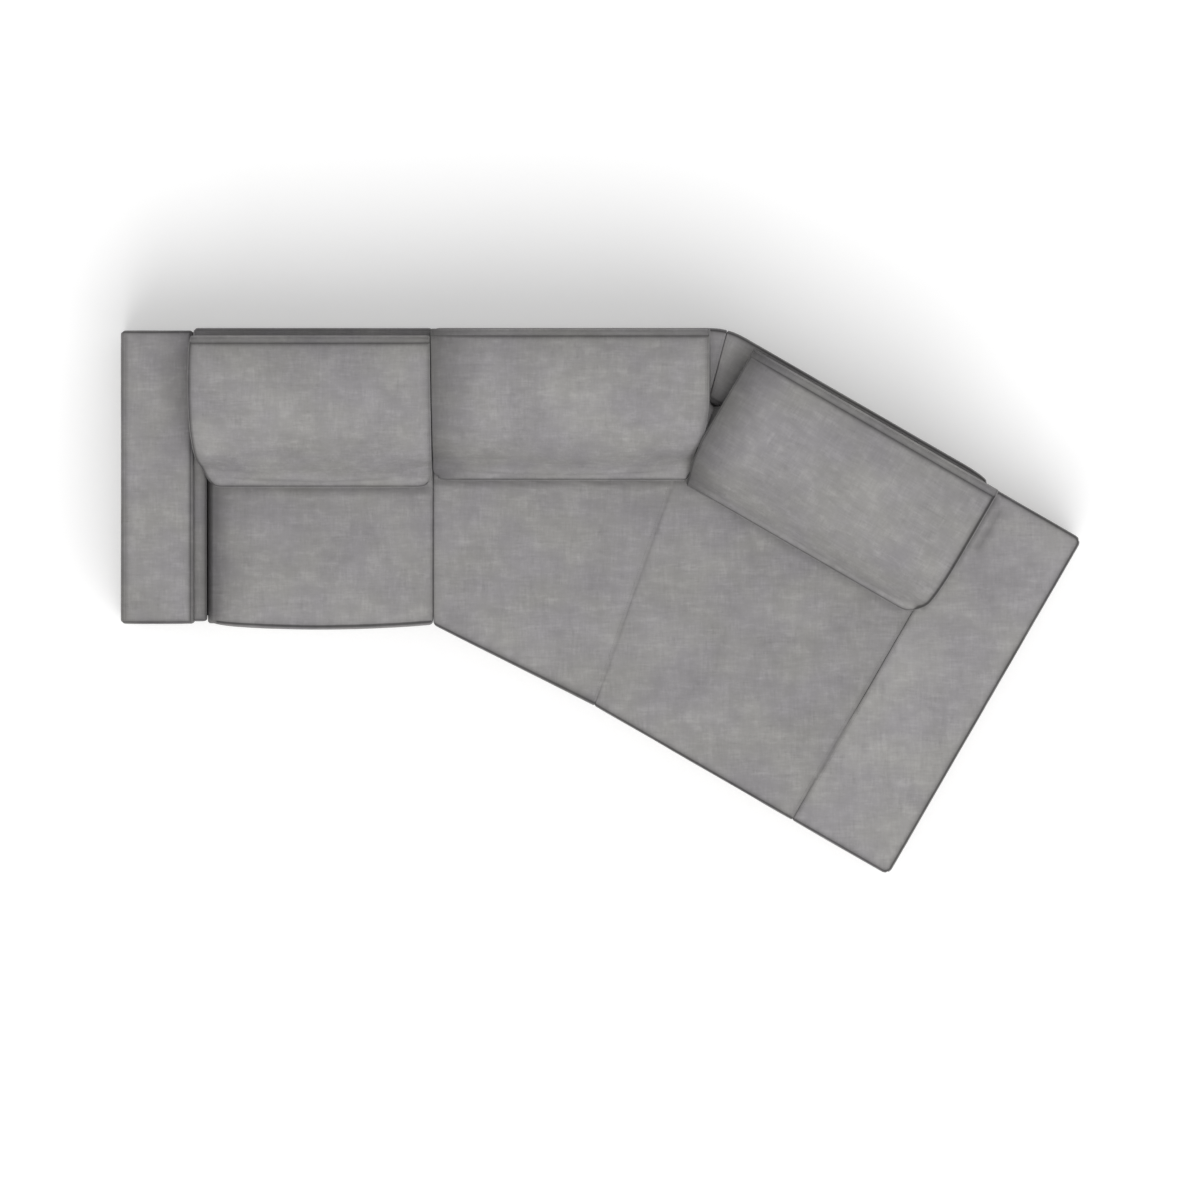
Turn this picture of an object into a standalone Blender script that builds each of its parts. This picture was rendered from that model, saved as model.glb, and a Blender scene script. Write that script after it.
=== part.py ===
# Angled sectional sofa: a left unit with one arm and a pull-out seat, hooked to a corner unit that
# bends 30 degrees and ends in an open platform. Metres, +Z up, +Y to the back, +X to the right.
import math

import bmesh
import bpy

# Plan sizes. The back corner is where the middle back meets the wing's back.
WING_ANGLE = math.radians(30.0)
MIDDLE_WIDTH = 1.030
SEAT_DEPTH = 1.038
WING_LENGTH = 1.443
WING_DEPTH = 1.378
SEAM_1_START = 0.256
PLATFORM_WIDTH = 0.388
PLATFORM_SETBACK = 0.020
LEFT_SEAT_WIDTH = 0.782
LEFT_SEAT_BOW = 0.017
ARM_WIDTH = 0.2535
ARM_FRONT_SETBACK = 0.004
ARM_SETBACK = 0.009
ARM_PAD_THICKNESS = 0.044
ARM_PAD_SETBACK = 0.014
ARM_PAD_EDGE = 0.018
BACK_DEPTH = 0.262

# Heights
FLOOR_GAP = 0.055
BASE_TOP = 0.265
SEAT_HEIGHT = 0.440
SEAT_CROWN = 0.016
SEAT_ROLL = 0.030
SEAT_ROWS = (0.3, 0.62, 0.9, 1.0)
SEAT_COLUMNS = (0.0, 0.06, 0.22, 0.42, 0.58, 0.78, 0.94, 1.0)
ARM_HEIGHT = 0.580
ARM_PAD_HEIGHT = 0.525
BACK_HEIGHT = 0.700
CUSHION_TOP = 0.850

# Back cushions: one section for all three, each set at its own distance from the back line
CUSHION_DEPTH = 0.530
CUSHION_BAND = 0.100
CUSHION_RECLINE = 0.205
LEFT_CUSHION_SETBACK = 0.027
MIDDLE_CUSHION_SETBACK = 0.003
RIGHT_CUSHION_SETBACK = 0.019
CUSHION_OVER_ARM = 0.010
RIGHT_CUSHION_START = 0.117
RIGHT_CUSHION_DRAW_IN = 0.024
RIGHT_CUSHION_OVERHANG = 0.052
MIDDLE_CUSHION_END = 0.068
CUSHION_CROWN = 0.022
CUSHION_EASE = 0.006
CUSHION_REAR_ROUND = 0.030
CUSHION_LOFT = 0.003
CUSHION_SHOULDER_DROP = 0.022
CUSHION_SLOPE = 0.105
CUSHION_LEAN = 0.035
CUSHION_CHEEK = 0.085
CUSHION_BULGE = 0.004
CUSHION_TUCK = 0.022
CUSHION_FOOT = 0.050
CUSHION_SIDE_TAPER = 0.006
CUSHION_COLUMNS = (0.0, 0.045, 0.16, 0.34, 0.5, 0.66, 0.84, 0.955, 1.0)

# Clearances
TOUCH = 0.0003
RUNNING_GAP_ARM = 0.010
RUNNING_GAP_OPEN = 0.0035
MODULE_GAP = 0.0015
CUSHION_GAP = 0.006
CONNECTOR_PLAY = 0.0005

# Upholstery
COVER_WALL = 0.022
PANEL_THICKNESS = 0.026
END_PANEL_THICKNESS = 0.040
PANEL_INSET = 0.005
PANEL_LIFT = 0.004
PANEL_EDGE = 0.008
HIDDEN_EDGE = 0.001
PAD_EDGE = 0.012
SEAM_EDGE = 0.0015
PLATFORM_SEAM_EDGE = 0.003
ARM_EDGE = 0.014
BACK_EDGE = 0.030
PAD_CORNER = 0.034
ARM_CORNER = 0.026
BACK_END_CORNER = 0.036
BACK_CORNER_TANGENT = 0.060
BACK_CORNER_EASE = 0.250
BACK_JOINT_CORNER = 0.012
HIDDEN_CORNER = 0.002

# Timber frame
BOARD = 0.025
PLY = 0.015
DECK_THICKNESS = 0.012
LOW_RAIL_TOP = 0.120
CARRIAGE_BOTTOM = 0.130
BASE_SIDE_TOP = 0.205
CARRIAGE_CLEARANCE = 0.004

# Zigzag springs
SPRING_WIRE = 0.004
SPRING_WAVE = 0.052
SPRING_PITCH = 0.150
SPRING_DROP = 0.012
SPRING_SPACING = 0.165
SPRING_EDGE = 0.075
SPRING_TURNS = ((0.12, 1.0), (0.38, 1.0), (0.62, -1.0), (0.88, -1.0))
TIE_LIFT = 0.0017
TIE_SHARES = (0.36, 0.76)

# Seat runners
RUNNER_LENGTH = 0.500
RUNNER_HEIGHT = 0.036
RUNNER_WALL = 0.002
RUNNER_WIDTH = 0.012
RUNNER_CENTRE_Z = 0.170
SLIDE_PLAY = 0.0003

# Feet and connectors
FOOT_TOP_RADIUS = 0.030
FOOT_BOTTOM_RADIUS = 0.024
FOOT_SIDES = 16
FOOT_EDGE = 0.003
FOOT_INSET = 0.050
FOOT_SEAM_INSET = 0.055
FOOT_JOINT_GAP = 0.003
PLATE = 0.004
CATCH_LENGTH = 0.060
CATCH_WIDTH = 0.090
CATCH_NECK = 0.026
CATCH_HEAD = 0.050
CATCH_HEAD_LENGTH = 0.016
CATCH_LIP = 0.012
CATCH_INSET = 0.180

# Roundings
ARC_STEPS = 3
ROUND_STEPS = 3
LEAST_CORNER = 0.001


def clear_scene():
    for item in list(bpy.data.objects):
        bpy.data.objects.remove(item, do_unlink=True)


def make_material(name, colour, roughness, metallic=0.0):
    material = bpy.data.materials.new(name)
    material.use_nodes = True
    shader = material.node_tree.nodes["Principled BSDF"]
    shader.inputs["Base Color"].default_value = (*colour, 1.0)
    shader.inputs["Roughness"].default_value = roughness
    shader.inputs["Metallic"].default_value = metallic
    return material


def fabric(name):
    return make_material(name, (0.287, 0.279, 0.283), 0.92)


def timber(name):
    return make_material(name, (0.56, 0.40, 0.24), 0.65)


def steel(name):
    return make_material(name, (0.50, 0.50, 0.51), 0.35, 1.0)


def plastic(name):
    return make_material(name, (0.02, 0.02, 0.022), 0.5)


def add_object(name, vertices, faces, material, smooth_angle=40.0):
    mesh = bpy.data.meshes.new(name)
    mesh.from_pydata(vertices, [], faces)
    mesh.update()
    mesh.shade_smooth()
    mesh.set_sharp_from_angle(angle=math.radians(smooth_angle))
    mesh.materials.append(material)
    item = bpy.data.objects.new(name, mesh)
    bpy.context.scene.collection.objects.link(item)
    return item


# Plan frames: a place along a back line and a depth in front of it, measured from the back corner
def middle_point(along, depth):
    return (along, -depth)


def wing_point(along, depth):
    cosine = math.cos(WING_ANGLE)
    sine = math.sin(WING_ANGLE)
    return (along * cosine - depth * sine, -along * sine - depth * cosine)


def offset_outline(points, distances):
    # Moves each edge of an anticlockwise outline inwards by its own distance.
    count = len(points)
    lines = []
    for index in range(count):
        (x0, y0), (x1, y1) = points[index], points[(index + 1) % count]
        length = math.hypot(x1 - x0, y1 - y0)
        normal = (-(y1 - y0) / length, (x1 - x0) / length)
        shift = distances[index]
        lines.append((x0 + normal[0] * shift, y0 + normal[1] * shift, x1 - x0, y1 - y0))
    result = []
    for index in range(count):
        x0, y0, dx0, dy0 = lines[index - 1]
        x1, y1, dx1, dy1 = lines[index]
        cross = dx0 * dy1 - dy0 * dx1
        share = ((x1 - x0) * dy1 - (y1 - y0) * dx1) / cross
        result.append((x0 + dx0 * share, y0 + dy0 * share))
    return result


def round_corners(points, radii):
    # Replaces each corner that has a radius by an arc, tangent to both its edges.
    result = []
    count = len(points)
    for index, (x, y) in enumerate(points):
        radius = radii[index]
        if radius <= 0.0:
            result.append((x, y))
            continue
        (xa, ya), (xb, yb) = points[index - 1], points[(index + 1) % count]
        incoming = math.atan2(y - ya, x - xa)
        turn = math.atan2(yb - y, xb - x) - incoming
        turn = (turn + math.pi) % (2.0 * math.pi) - math.pi
        tangent = radius * math.tan(turn / 2.0)
        start = (x - tangent * math.cos(incoming), y - tangent * math.sin(incoming))
        centre = (start[0] - radius * math.sin(incoming), start[1] + radius * math.cos(incoming))
        for step in range(ROUND_STEPS + 1):
            angle = incoming - math.pi / 2.0 + turn * step / ROUND_STEPS
            result.append((centre[0] + radius * math.cos(angle), centre[1] + radius * math.sin(angle)))
    return result


def ring(outline, radii, insets, height):
    # One level outline: edges moved in, corners rounded by what is left of their radius.
    if max(insets) > 0.0:
        outline = offset_outline(outline, insets)
    most = max(insets)
    left = [max(radius - most, LEAST_CORNER) if radius > 0.0 else 0.0 for radius in radii]
    return [(x, y, height) for x, y in round_corners(outline, left)]


def loft(name, rings, material, smooth_angle=40.0):
    # A closed body through level rings of equal count, capped at its first and last ring.
    count = len(rings[0])
    vertices = [(x + SHIFT[0], y + SHIFT[1], z) for level in rings for x, y, z in level]
    faces = [list(reversed(range(count)))]
    for level in range(len(rings) - 1):
        low = level * count
        high = low + count
        for index in range(count):
            following = (index + 1) % count
            faces.append((low + index, low + following, high + following, high + index))
    faces.append(list(range((len(rings) - 1) * count, len(rings) * count)))
    return add_object(name, vertices, faces, material, smooth_angle)


def edge_rings(outline, radii, edges, low, high, rising):
    # The rings of a rounded top or bottom edge; each side has its own width of rounding.
    drop = max(edges)
    rings = []
    for step in range(ARC_STEPS + 1):
        angle = math.pi / 2.0 * step / ARC_STEPS
        insets = [edge * (1.0 - math.cos(angle)) for edge in edges]
        if rising:
            height = high - drop * (1.0 - math.sin(angle))
        else:
            height = low + drop * (1.0 - math.sin(angle))
        rings.append(ring(outline, radii, insets, height))
    return rings if rising else rings[::-1]


def block(name, outline, low, high, material, radii=None, top=None, bottom=None):
    radii = radii or [0.0] * len(outline)
    rings = []
    if bottom:
        rings += edge_rings(outline, radii, bottom, low, high, False)
    else:
        rings.append(ring(outline, radii, [0.0] * len(outline), low))
    if top:
        rings += edge_rings(outline, radii, top, low, high, True)
    else:
        rings.append(ring(outline, radii, [0.0] * len(outline), high))
    return loft(name, rings, material)


def shell(name, outline, low, high, wall, material, radii=None, edge=0.0):
    # A cover or a box frame with an open underside.
    radii = radii or [0.0] * len(outline)
    walls = [wall] * len(outline)
    flat = [0.0] * len(outline)
    rings = [ring(outline, radii, walls, high - wall), ring(outline, radii, walls, low)]
    rings.append(ring(outline, radii, flat, low))
    if edge > 0.0:
        rings += edge_rings(outline, radii, [edge] * len(outline), low, high, True)
    else:
        rings.append(ring(outline, radii, flat, high))
    return loft(name, rings, material)


def pad_form(name, upper, lower, material):
    # A cushion from two grids of points, its face and its underside, joined round their rim.
    rows = len(upper)
    columns = len(upper[0])
    size = rows * columns
    points = [point for grid in (upper, lower) for row in grid for point in row]
    vertices = [(x + SHIFT[0], y + SHIFT[1], z) for x, y, z in points]
    faces = []
    for row in range(rows - 1):
        for column in range(columns - 1):
            corner = row * columns + column
            quad = (corner, corner + columns, corner + columns + 1, corner + 1)
            faces.append(quad)
            faces.append(tuple(size + index for index in reversed(quad)))
    rim = [(0, column) for column in range(columns)]
    rim += [(row, columns - 1) for row in range(1, rows)]
    rim += [(rows - 1, column) for column in range(columns - 2, -1, -1)]
    rim += [(row, 0) for row in range(rows - 2, 0, -1)]
    loop = [row * columns + column for row, column in rim]
    for index, first in enumerate(loop):
        second = loop[(index + 1) % len(loop)]
        faces.append((first, second, size + second, size + first))
    item = add_object(name, vertices, faces, material, 60.0)
    mesh = bmesh.new()
    mesh.from_mesh(item.data)
    bmesh.ops.recalc_face_normals(mesh, faces=mesh.faces)
    mesh.to_mesh(item.data)
    mesh.free()
    smoothing = item.modifiers.new("smoothing", "SUBSURF")
    smoothing.levels = 1
    smoothing.render_levels = 1
    return item


# Outlines in plan
ALONG_JOINT = -MIDDLE_WIDTH
ALONG_SEAT_RIGHT = ALONG_JOINT - RUNNING_GAP_OPEN
ALONG_SEAT_LEFT = ALONG_SEAT_RIGHT - LEFT_SEAT_WIDTH
ALONG_PAD_RIGHT = ALONG_SEAT_LEFT - RUNNING_GAP_ARM
ALONG_PAD_LEFT = ALONG_PAD_RIGHT - ARM_PAD_THICKNESS
ALONG_ARM_RIGHT = ALONG_PAD_LEFT - TOUCH
ALONG_ARM_LEFT = ALONG_ARM_RIGHT - ARM_WIDTH
SEAT_REAR = BACK_DEPTH + TOUCH
ARM_FRONT = SEAT_DEPTH - ARM_FRONT_SETBACK
MITRE = math.tan(WING_ANGLE / 2.0)
SEAM_2_ALONG = WING_LENGTH - PLATFORM_WIDTH
BACK_END = SEAM_2_ALONG - TOUCH - MODULE_GAP


def rectangle(left, right, rear, front, place=middle_point):
    return [place(left, front), place(right, front), place(right, rear), place(left, rear)]


def corner_unit_front():
    # The corner unit's outer line, from its left front corner round to the platform's back.
    return [
        middle_point(ALONG_JOINT + MODULE_GAP, SEAT_DEPTH),
        wing_point(SEAM_1_START, WING_DEPTH),
        wing_point(WING_LENGTH, WING_DEPTH),
        wing_point(WING_LENGTH, PLATFORM_SETBACK),
        wing_point(SEAM_2_ALONG, PLATFORM_SETBACK),
    ]


def seam_1_rear():
    # Seam 1 runs from the back corner to the front edge; it meets the middle back's face here.
    x, y = wing_point(SEAM_1_START, WING_DEPTH)
    return middle_point(x / -y * SEAT_REAR, SEAT_REAR)


def platform_outline():
    return rectangle(SEAM_2_ALONG, WING_LENGTH, PLATFORM_SETBACK, WING_DEPTH, wing_point)


def plan_shift():
    # Puts the middle of the whole plan at the origin.
    corners = [0.0] * 4
    corners[1] = corners[2] = PAD_CORNER
    reach = round_corners(platform_outline(), corners)
    reach.append(middle_point(ALONG_ARM_LEFT, 0.0))
    xs = [x for x, y in reach]
    ys = [y for x, y in reach]
    return (-(min(xs) + max(xs)) / 2.0, -(min(ys) + max(ys)) / 2.0)


SHIFT = plan_shift()


def make_arm():
    outline = rectangle(ALONG_ARM_LEFT, ALONG_ARM_RIGHT, ARM_SETBACK, ARM_FRONT)
    radii = [ARM_CORNER, ARM_CORNER / 2.0, ARM_CORNER / 2.0, ARM_CORNER]
    shell("arm_cover", outline, FLOOR_GAP, ARM_HEIGHT, COVER_WALL, fabric("arm_cover"), radii, ARM_EDGE)
    inside = offset_outline(outline, [COVER_WALL + TOUCH] * 4)
    high = ARM_HEIGHT - COVER_WALL - TOUCH
    radii = [max(radius - COVER_WALL, HIDDEN_CORNER) for radius in radii]
    shell("arm_frame", inside, FLOOR_GAP, high, PLY, timber("arm_frame"), radii)
    front = ARM_FRONT - ARM_PAD_SETBACK
    outline = rectangle(ALONG_PAD_LEFT, ALONG_PAD_RIGHT, SEAT_REAR, front)
    radii = [HIDDEN_CORNER, ARM_PAD_EDGE, 0.0, 0.0]
    edges = [ARM_PAD_EDGE, ARM_PAD_EDGE, HIDDEN_EDGE, HIDDEN_EDGE]
    name = "arm_inner_pad"
    block(name, outline, FLOOR_GAP, ARM_PAD_HEIGHT, fabric(name), radii, edges)


def back_outlines():
    # The back corner is cut off flat, half of the cut on each back, and eased into the long faces.
    cut = BACK_CORNER_TANGENT * MITRE / 2.0
    left = rectangle(ALONG_PAD_LEFT + TOUCH, ALONG_JOINT - MODULE_GAP, 0.0, BACK_DEPTH)
    middle = [
        middle_point(ALONG_JOINT + MODULE_GAP, BACK_DEPTH),
        middle_point(-BACK_DEPTH * MITRE - TOUCH, BACK_DEPTH),
        middle_point(-cut * MITRE - TOUCH, cut),
        middle_point(-BACK_CORNER_TANGENT, 0.0),
        middle_point(ALONG_JOINT + MODULE_GAP, 0.0),
    ]
    right = [
        wing_point(BACK_DEPTH * MITRE + TOUCH, BACK_DEPTH),
        wing_point(BACK_END, BACK_DEPTH),
        wing_point(BACK_END, 0.0),
        wing_point(BACK_CORNER_TANGENT, 0.0),
        wing_point(cut * MITRE + TOUCH, cut),
    ]
    return {"left": left, "middle": middle, "right": right}


BACK_CORNERS = {
    "left": [0.0, 0.0, BACK_JOINT_CORNER, BACK_JOINT_CORNER],
    "middle": [0.0, 0.0, 0.0, BACK_CORNER_EASE, BACK_JOINT_CORNER],
    "right": [0.0, 0.0, BACK_END_CORNER, BACK_CORNER_EASE, 0.0],
}


def make_backs():
    for name, outline in back_outlines().items():
        radii = BACK_CORNERS[name]
        cover = f"{name}_back_cover"
        shell(cover, outline, FLOOR_GAP, BACK_HEIGHT, COVER_WALL, fabric(cover), radii, BACK_EDGE)
        inside = offset_outline(outline, [COVER_WALL + TOUCH] * len(outline))
        high = BACK_HEIGHT - COVER_WALL - TOUCH
        inner = [max(radius - COVER_WALL, HIDDEN_CORNER) if radius > 0.0 else 0.0 for radius in radii]
        frame = f"{name}_back_frame"
        shell(frame, inside, FLOOR_GAP, high, PLY, timber(frame), inner)


def cushion_section(setback):
    # Pairs of (depth, height), face and underside, from the rear band over the top to the seat.
    front = setback + CUSHION_DEPTH
    over = BACK_HEIGHT + TOUCH
    inner = BACK_DEPTH + TOUCH
    bottom = SEAT_HEIGHT + TOUCH
    shoulder = front - CUSHION_RECLINE
    top = CUSHION_TOP
    ease = CUSHION_EASE
    face = [
        (setback, over + CUSHION_BAND * 0.75),
        (setback + CUSHION_REAR_ROUND, top - CUSHION_REAR_ROUND / 2.0),
        (setback + CUSHION_REAR_ROUND * 4.0, top + CUSHION_LOFT),
        (shoulder - CUSHION_SLOPE, top + CUSHION_LOFT),
        (shoulder, top - CUSHION_SHOULDER_DROP),
        (front - CUSHION_SLOPE, top - CUSHION_SLOPE),
        (front - CUSHION_LEAN, top - CUSHION_SLOPE * 2.0),
        (front + CUSHION_BULGE, bottom + CUSHION_CHEEK),
        (front - CUSHION_BULGE, bottom + CUSHION_TUCK),
        (front - CUSHION_FOOT, bottom),
    ]
    under = [
        (setback, over + CUSHION_BAND * 0.25),
        (setback + CUSHION_REAR_ROUND, over),
        (inner - CUSHION_FOOT * 2.4, over),
        (inner - CUSHION_FOOT, over),
        (inner + ease, over + ease),
        (inner, over - CUSHION_FOOT),
        (inner, over - CUSHION_FOOT * 2.2),
        (inner, bottom + CUSHION_CHEEK),
        (inner + CUSHION_BULGE, bottom + CUSHION_TUCK),
        (inner + CUSHION_FOOT, bottom),
    ]
    return face, under


def make_back_cushion(name, setback, place, limits):
    # limits gives the cushion's two ends for each row of its section and the depth there.
    face, under = cushion_section(setback)
    crowned_top = (2, 3, 4)
    grids = []
    for sheet in (face, under):
        grid = []
        for row, (depth, height) in enumerate(sheet):
            start, end = limits(row, depth)
            line = []
            for share in CUSHION_COLUMNS:
                across = 4.0 * share * (1.0 - share)
                crown = 0.0
                if sheet is face and row in crowned_top:
                    crown = CUSHION_CROWN * (across - 1.0)
                along = start + (end - start) * share
                x, y = place(along, depth)
                line.append((x, y, height + crown))
            grid.append(line)
        grids.append(grid)
    return pad_form(name, grids[0], grids[1], fabric(name))


def lower_share(row):
    # 0 on the cushion's upper rows, rising to 1 where it stands between its neighbours.
    return min(max((row - 4) / 4.0, 0.0), 1.0)


def left_cushion_limits(row, depth):
    wide = ALONG_ARM_RIGHT - CUSHION_OVER_ARM
    narrow = ALONG_SEAT_LEFT + CUSHION_SIDE_TAPER
    start = wide + (narrow - wide) * lower_share(row)
    return start, ALONG_JOINT - CUSHION_GAP / 2.0


def right_cushion_limits(row, depth):
    start = RIGHT_CUSHION_START + RIGHT_CUSHION_DRAW_IN * lower_share(row)
    end = BACK_END + RIGHT_CUSHION_OVERHANG - CUSHION_REAR_ROUND * lower_share(row)
    return start, end


def middle_cushion_limits(row, depth):
    # The right end stays clear of the right cushion's side, which slants across it.
    side = right_cushion_limits(row, depth)[0] - CUSHION_GAP
    slope = math.tan(WING_ANGLE)
    reach = side * math.cos(WING_ANGLE) - slope * (depth - side * math.sin(WING_ANGLE))
    return ALONG_JOINT + CUSHION_GAP / 2.0, min(-MIDDLE_CUSHION_END, reach)


def make_back_cushions():
    make_back_cushion("left_back_cushion", LEFT_CUSHION_SETBACK, middle_point, left_cushion_limits)
    make_back_cushion("middle_back_cushion", MIDDLE_CUSHION_SETBACK, middle_point, middle_cushion_limits)
    make_back_cushion("right_back_cushion", RIGHT_CUSHION_SETBACK, wing_point, right_cushion_limits)


def make_left_seat_pad():
    # The top is crowned where it shows, and its front bows forward.
    crown_start = CUSHION_DEPTH + LEFT_CUSHION_SETBACK
    depths = [SEAT_REAR, SEAT_REAR + SEAT_ROLL, (SEAT_REAR + crown_start) / 2.0, crown_start]
    depths += [crown_start + (SEAT_DEPTH - crown_start) * share for share in SEAT_ROWS]
    grids = []
    for upper in (True, False):
        grid = []
        for row, depth in enumerate(depths):
            visible = max(depth - crown_start, 0.0) / (SEAT_DEPTH - crown_start)
            line = []
            for share in SEAT_COLUMNS:
                across = 4.0 * share * (1.0 - share)
                bow = LEFT_SEAT_BOW * across if row >= len(depths) - 2 else 0.0
                along = ALONG_SEAT_LEFT + LEFT_SEAT_WIDTH * share
                height = BASE_TOP + TOUCH
                if upper:
                    crown = SEAT_CROWN * math.sin(math.pi * visible) * across
                    rolled = SEAT_ROLL if share in (0.0, 1.0) or row in (0, len(depths) - 1) else 0.0
                    height = SEAT_HEIGHT + crown - rolled
                x, y = middle_point(along, depth + bow)
                line.append((x, y, height))
            grid.append(line)
        grids.append(grid)
    pad_form("left_seat_pad", grids[0], grids[1], fabric("left_seat_pad"))


def make_corner_pads():
    line = corner_unit_front()
    seam_rear = seam_1_rear()
    radii = [PAD_EDGE, 0.0, 0.0, 0.0]
    middle = [line[0], line[1], seam_rear, middle_point(ALONG_JOINT + MODULE_GAP, SEAT_REAR)]
    low = BASE_TOP + TOUCH
    name = "middle_seat_pad"
    middle = offset_outline(middle, [0.0, TOUCH / 2.0, 0.0, 0.0])
    edges = [PAD_EDGE, SEAM_EDGE, HIDDEN_EDGE, PAD_EDGE / 2.0]
    block(name, middle, low, SEAT_HEIGHT, fabric(name), radii, edges)
    right = [
        line[1],
        wing_point(SEAM_2_ALONG, WING_DEPTH),
        wing_point(SEAM_2_ALONG, SEAT_REAR),
        wing_point(SEAT_REAR * MITRE, SEAT_REAR),
        seam_rear,
    ]
    name = "right_seat_pad"
    right = offset_outline(right, [0.0, TOUCH / 2.0, 0.0, 0.0, TOUCH / 2.0])
    edges = [PAD_EDGE, PLATFORM_SEAM_EDGE, HIDDEN_EDGE, HIDDEN_EDGE, SEAM_EDGE]
    block(name, right, low, SEAT_HEIGHT, fabric(name), None, edges)
    name = "platform_pad"
    platform = offset_outline(platform_outline(), [0.0, 0.0, 0.0, TOUCH / 2.0])
    edges = [PAD_EDGE, PAD_EDGE, PAD_EDGE, PLATFORM_SEAM_EDGE]
    block(name, platform, low, SEAT_HEIGHT, fabric(name), [0.0, PAD_CORNER, PAD_CORNER, 0.0], edges)


def trimmed(first, second, third, fourth, gap=TOUCH):
    # A board's four corners, pulled in a little at both ends so that it only touches its neighbours.
    (x0, y0), (x1, y1) = first, second
    length = math.hypot(x1 - x0, y1 - y0)
    step = ((x1 - x0) / length * gap, (y1 - y0) / length * gap)
    trims = (1.0, -1.0, -1.0, 1.0)
    corners = (first, second, third, fourth)
    return [(x + step[0] * trim, y + step[1] * trim) for (x, y), trim in zip(corners, trims)]


def side_board(far, near, index):
    # One side of a frame, mitred between its outer and its inner outline.
    following = (index + 1) % len(far)
    return trimmed(far[index], far[following], near[following], near[index])


def crossing(start, direction, first, second):
    # Where a line through start meets the line through two other points.
    across = (second[0] - first[0], second[1] - first[1])
    cross = direction[0] * across[1] - direction[1] * across[0]
    gap = (first[0] - start[0], first[1] - start[1])
    share = (gap[0] * across[1] - gap[1] * across[0]) / cross
    return (start[0] + direction[0] * share, start[1] + direction[1] * share)


def corner_base_outline():
    # The corner unit's base, in front of its backs.
    return corner_unit_front() + [
        wing_point(SEAM_2_ALONG, SEAT_REAR),
        wing_point(SEAT_REAR * MITRE, SEAT_REAR),
        middle_point(ALONG_JOINT + MODULE_GAP, SEAT_REAR),
    ]


PANEL_BACK = PANEL_INSET + PANEL_THICKNESS
END_PANEL_BACK = PANEL_INSET + END_PANEL_THICKNESS
RAIL_TOP = BASE_TOP - TOUCH
RAIL_DEPTHS = [
    PANEL_BACK + TOUCH, PANEL_BACK + TOUCH, END_PANEL_BACK + TOUCH, PANEL_BACK + TOUCH,
    0.0, 0.0, 0.0, 0.0,
]


def corner_frame_lines():
    outline = corner_base_outline()
    far = offset_outline(outline, RAIL_DEPTHS)
    near = offset_outline(outline, [depth + BOARD for depth in RAIL_DEPTHS])
    return far, near


def cross_rail_1(near):
    # Under seam 1, between the back rails' corner and the front rails' corner.
    (x0, y0), (x1, y1) = near[6], near[1]
    length = math.hypot(x1 - x0, y1 - y0)
    direction = ((x1 - x0) / length, (y1 - y0) / length)
    aside = (direction[1] * BOARD / 2.0, -direction[0] * BOARD / 2.0)
    left = (x0 + aside[0], y0 + aside[1])
    right = (x0 - aside[0], y0 - aside[1])
    return trimmed(
        crossing(left, direction, near[6], near[7]),
        crossing(left, direction, near[0], near[1]),
        crossing(right, direction, near[1], near[2]),
        crossing(right, direction, near[5], near[6]),
        2.0 * TOUCH,
    )


def make_corner_base():
    far, near = corner_frame_lines()
    front = WING_DEPTH - RAIL_DEPTHS[1] - BOARD - TOUCH
    back = SEAT_REAR + BOARD
    boards = {
        "middle_front_rail": side_board(far, near, 0),
        "right_front_rail": side_board(far, near, 1),
        "end_rail": side_board(far, near, 2),
        "platform_back_rail": side_board(far, near, 3),
        "middle_back_rail": side_board(far, near, 6),
        "corner_side_rail": side_board(far, near, 7),
        "cross_rail_1": cross_rail_1(near),
        "cross_rail_2": [
            wing_point(SEAM_2_ALONG, front), wing_point(SEAM_2_ALONG + BOARD, front), near[4], far[4],
        ],
        "right_back_rail": [
            wing_point(back * MITRE + TOUCH, back), wing_point(SEAM_2_ALONG - TOUCH, back),
            wing_point(SEAM_2_ALONG - TOUCH, SEAT_REAR), wing_point(SEAT_REAR * MITRE + TOUCH, SEAT_REAR),
        ],
    }
    for name, outline in boards.items():
        block(name, outline, FLOOR_GAP, RAIL_TOP, timber(name))
    right = WING_LENGTH - END_PANEL_BACK - BOARD - 2.0 * TOUCH
    rear = PLATFORM_SETBACK + RAIL_DEPTHS[3] + BOARD + TOUCH
    deck = rectangle(SEAM_2_ALONG + BOARD + TOUCH, right, rear, front, wing_point)
    block("platform_deck", deck, RAIL_TOP - DECK_THICKNESS, RAIL_TOP, timber("platform_deck"))


def panel_block(name, outline, rounded, radii=None):
    edges = [PANEL_EDGE if side in rounded else HIDDEN_EDGE for side in range(len(outline))]
    low = FLOOR_GAP + PANEL_LIFT
    block(name, outline, low, BASE_TOP, fabric(name), radii, edges, edges)


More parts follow.
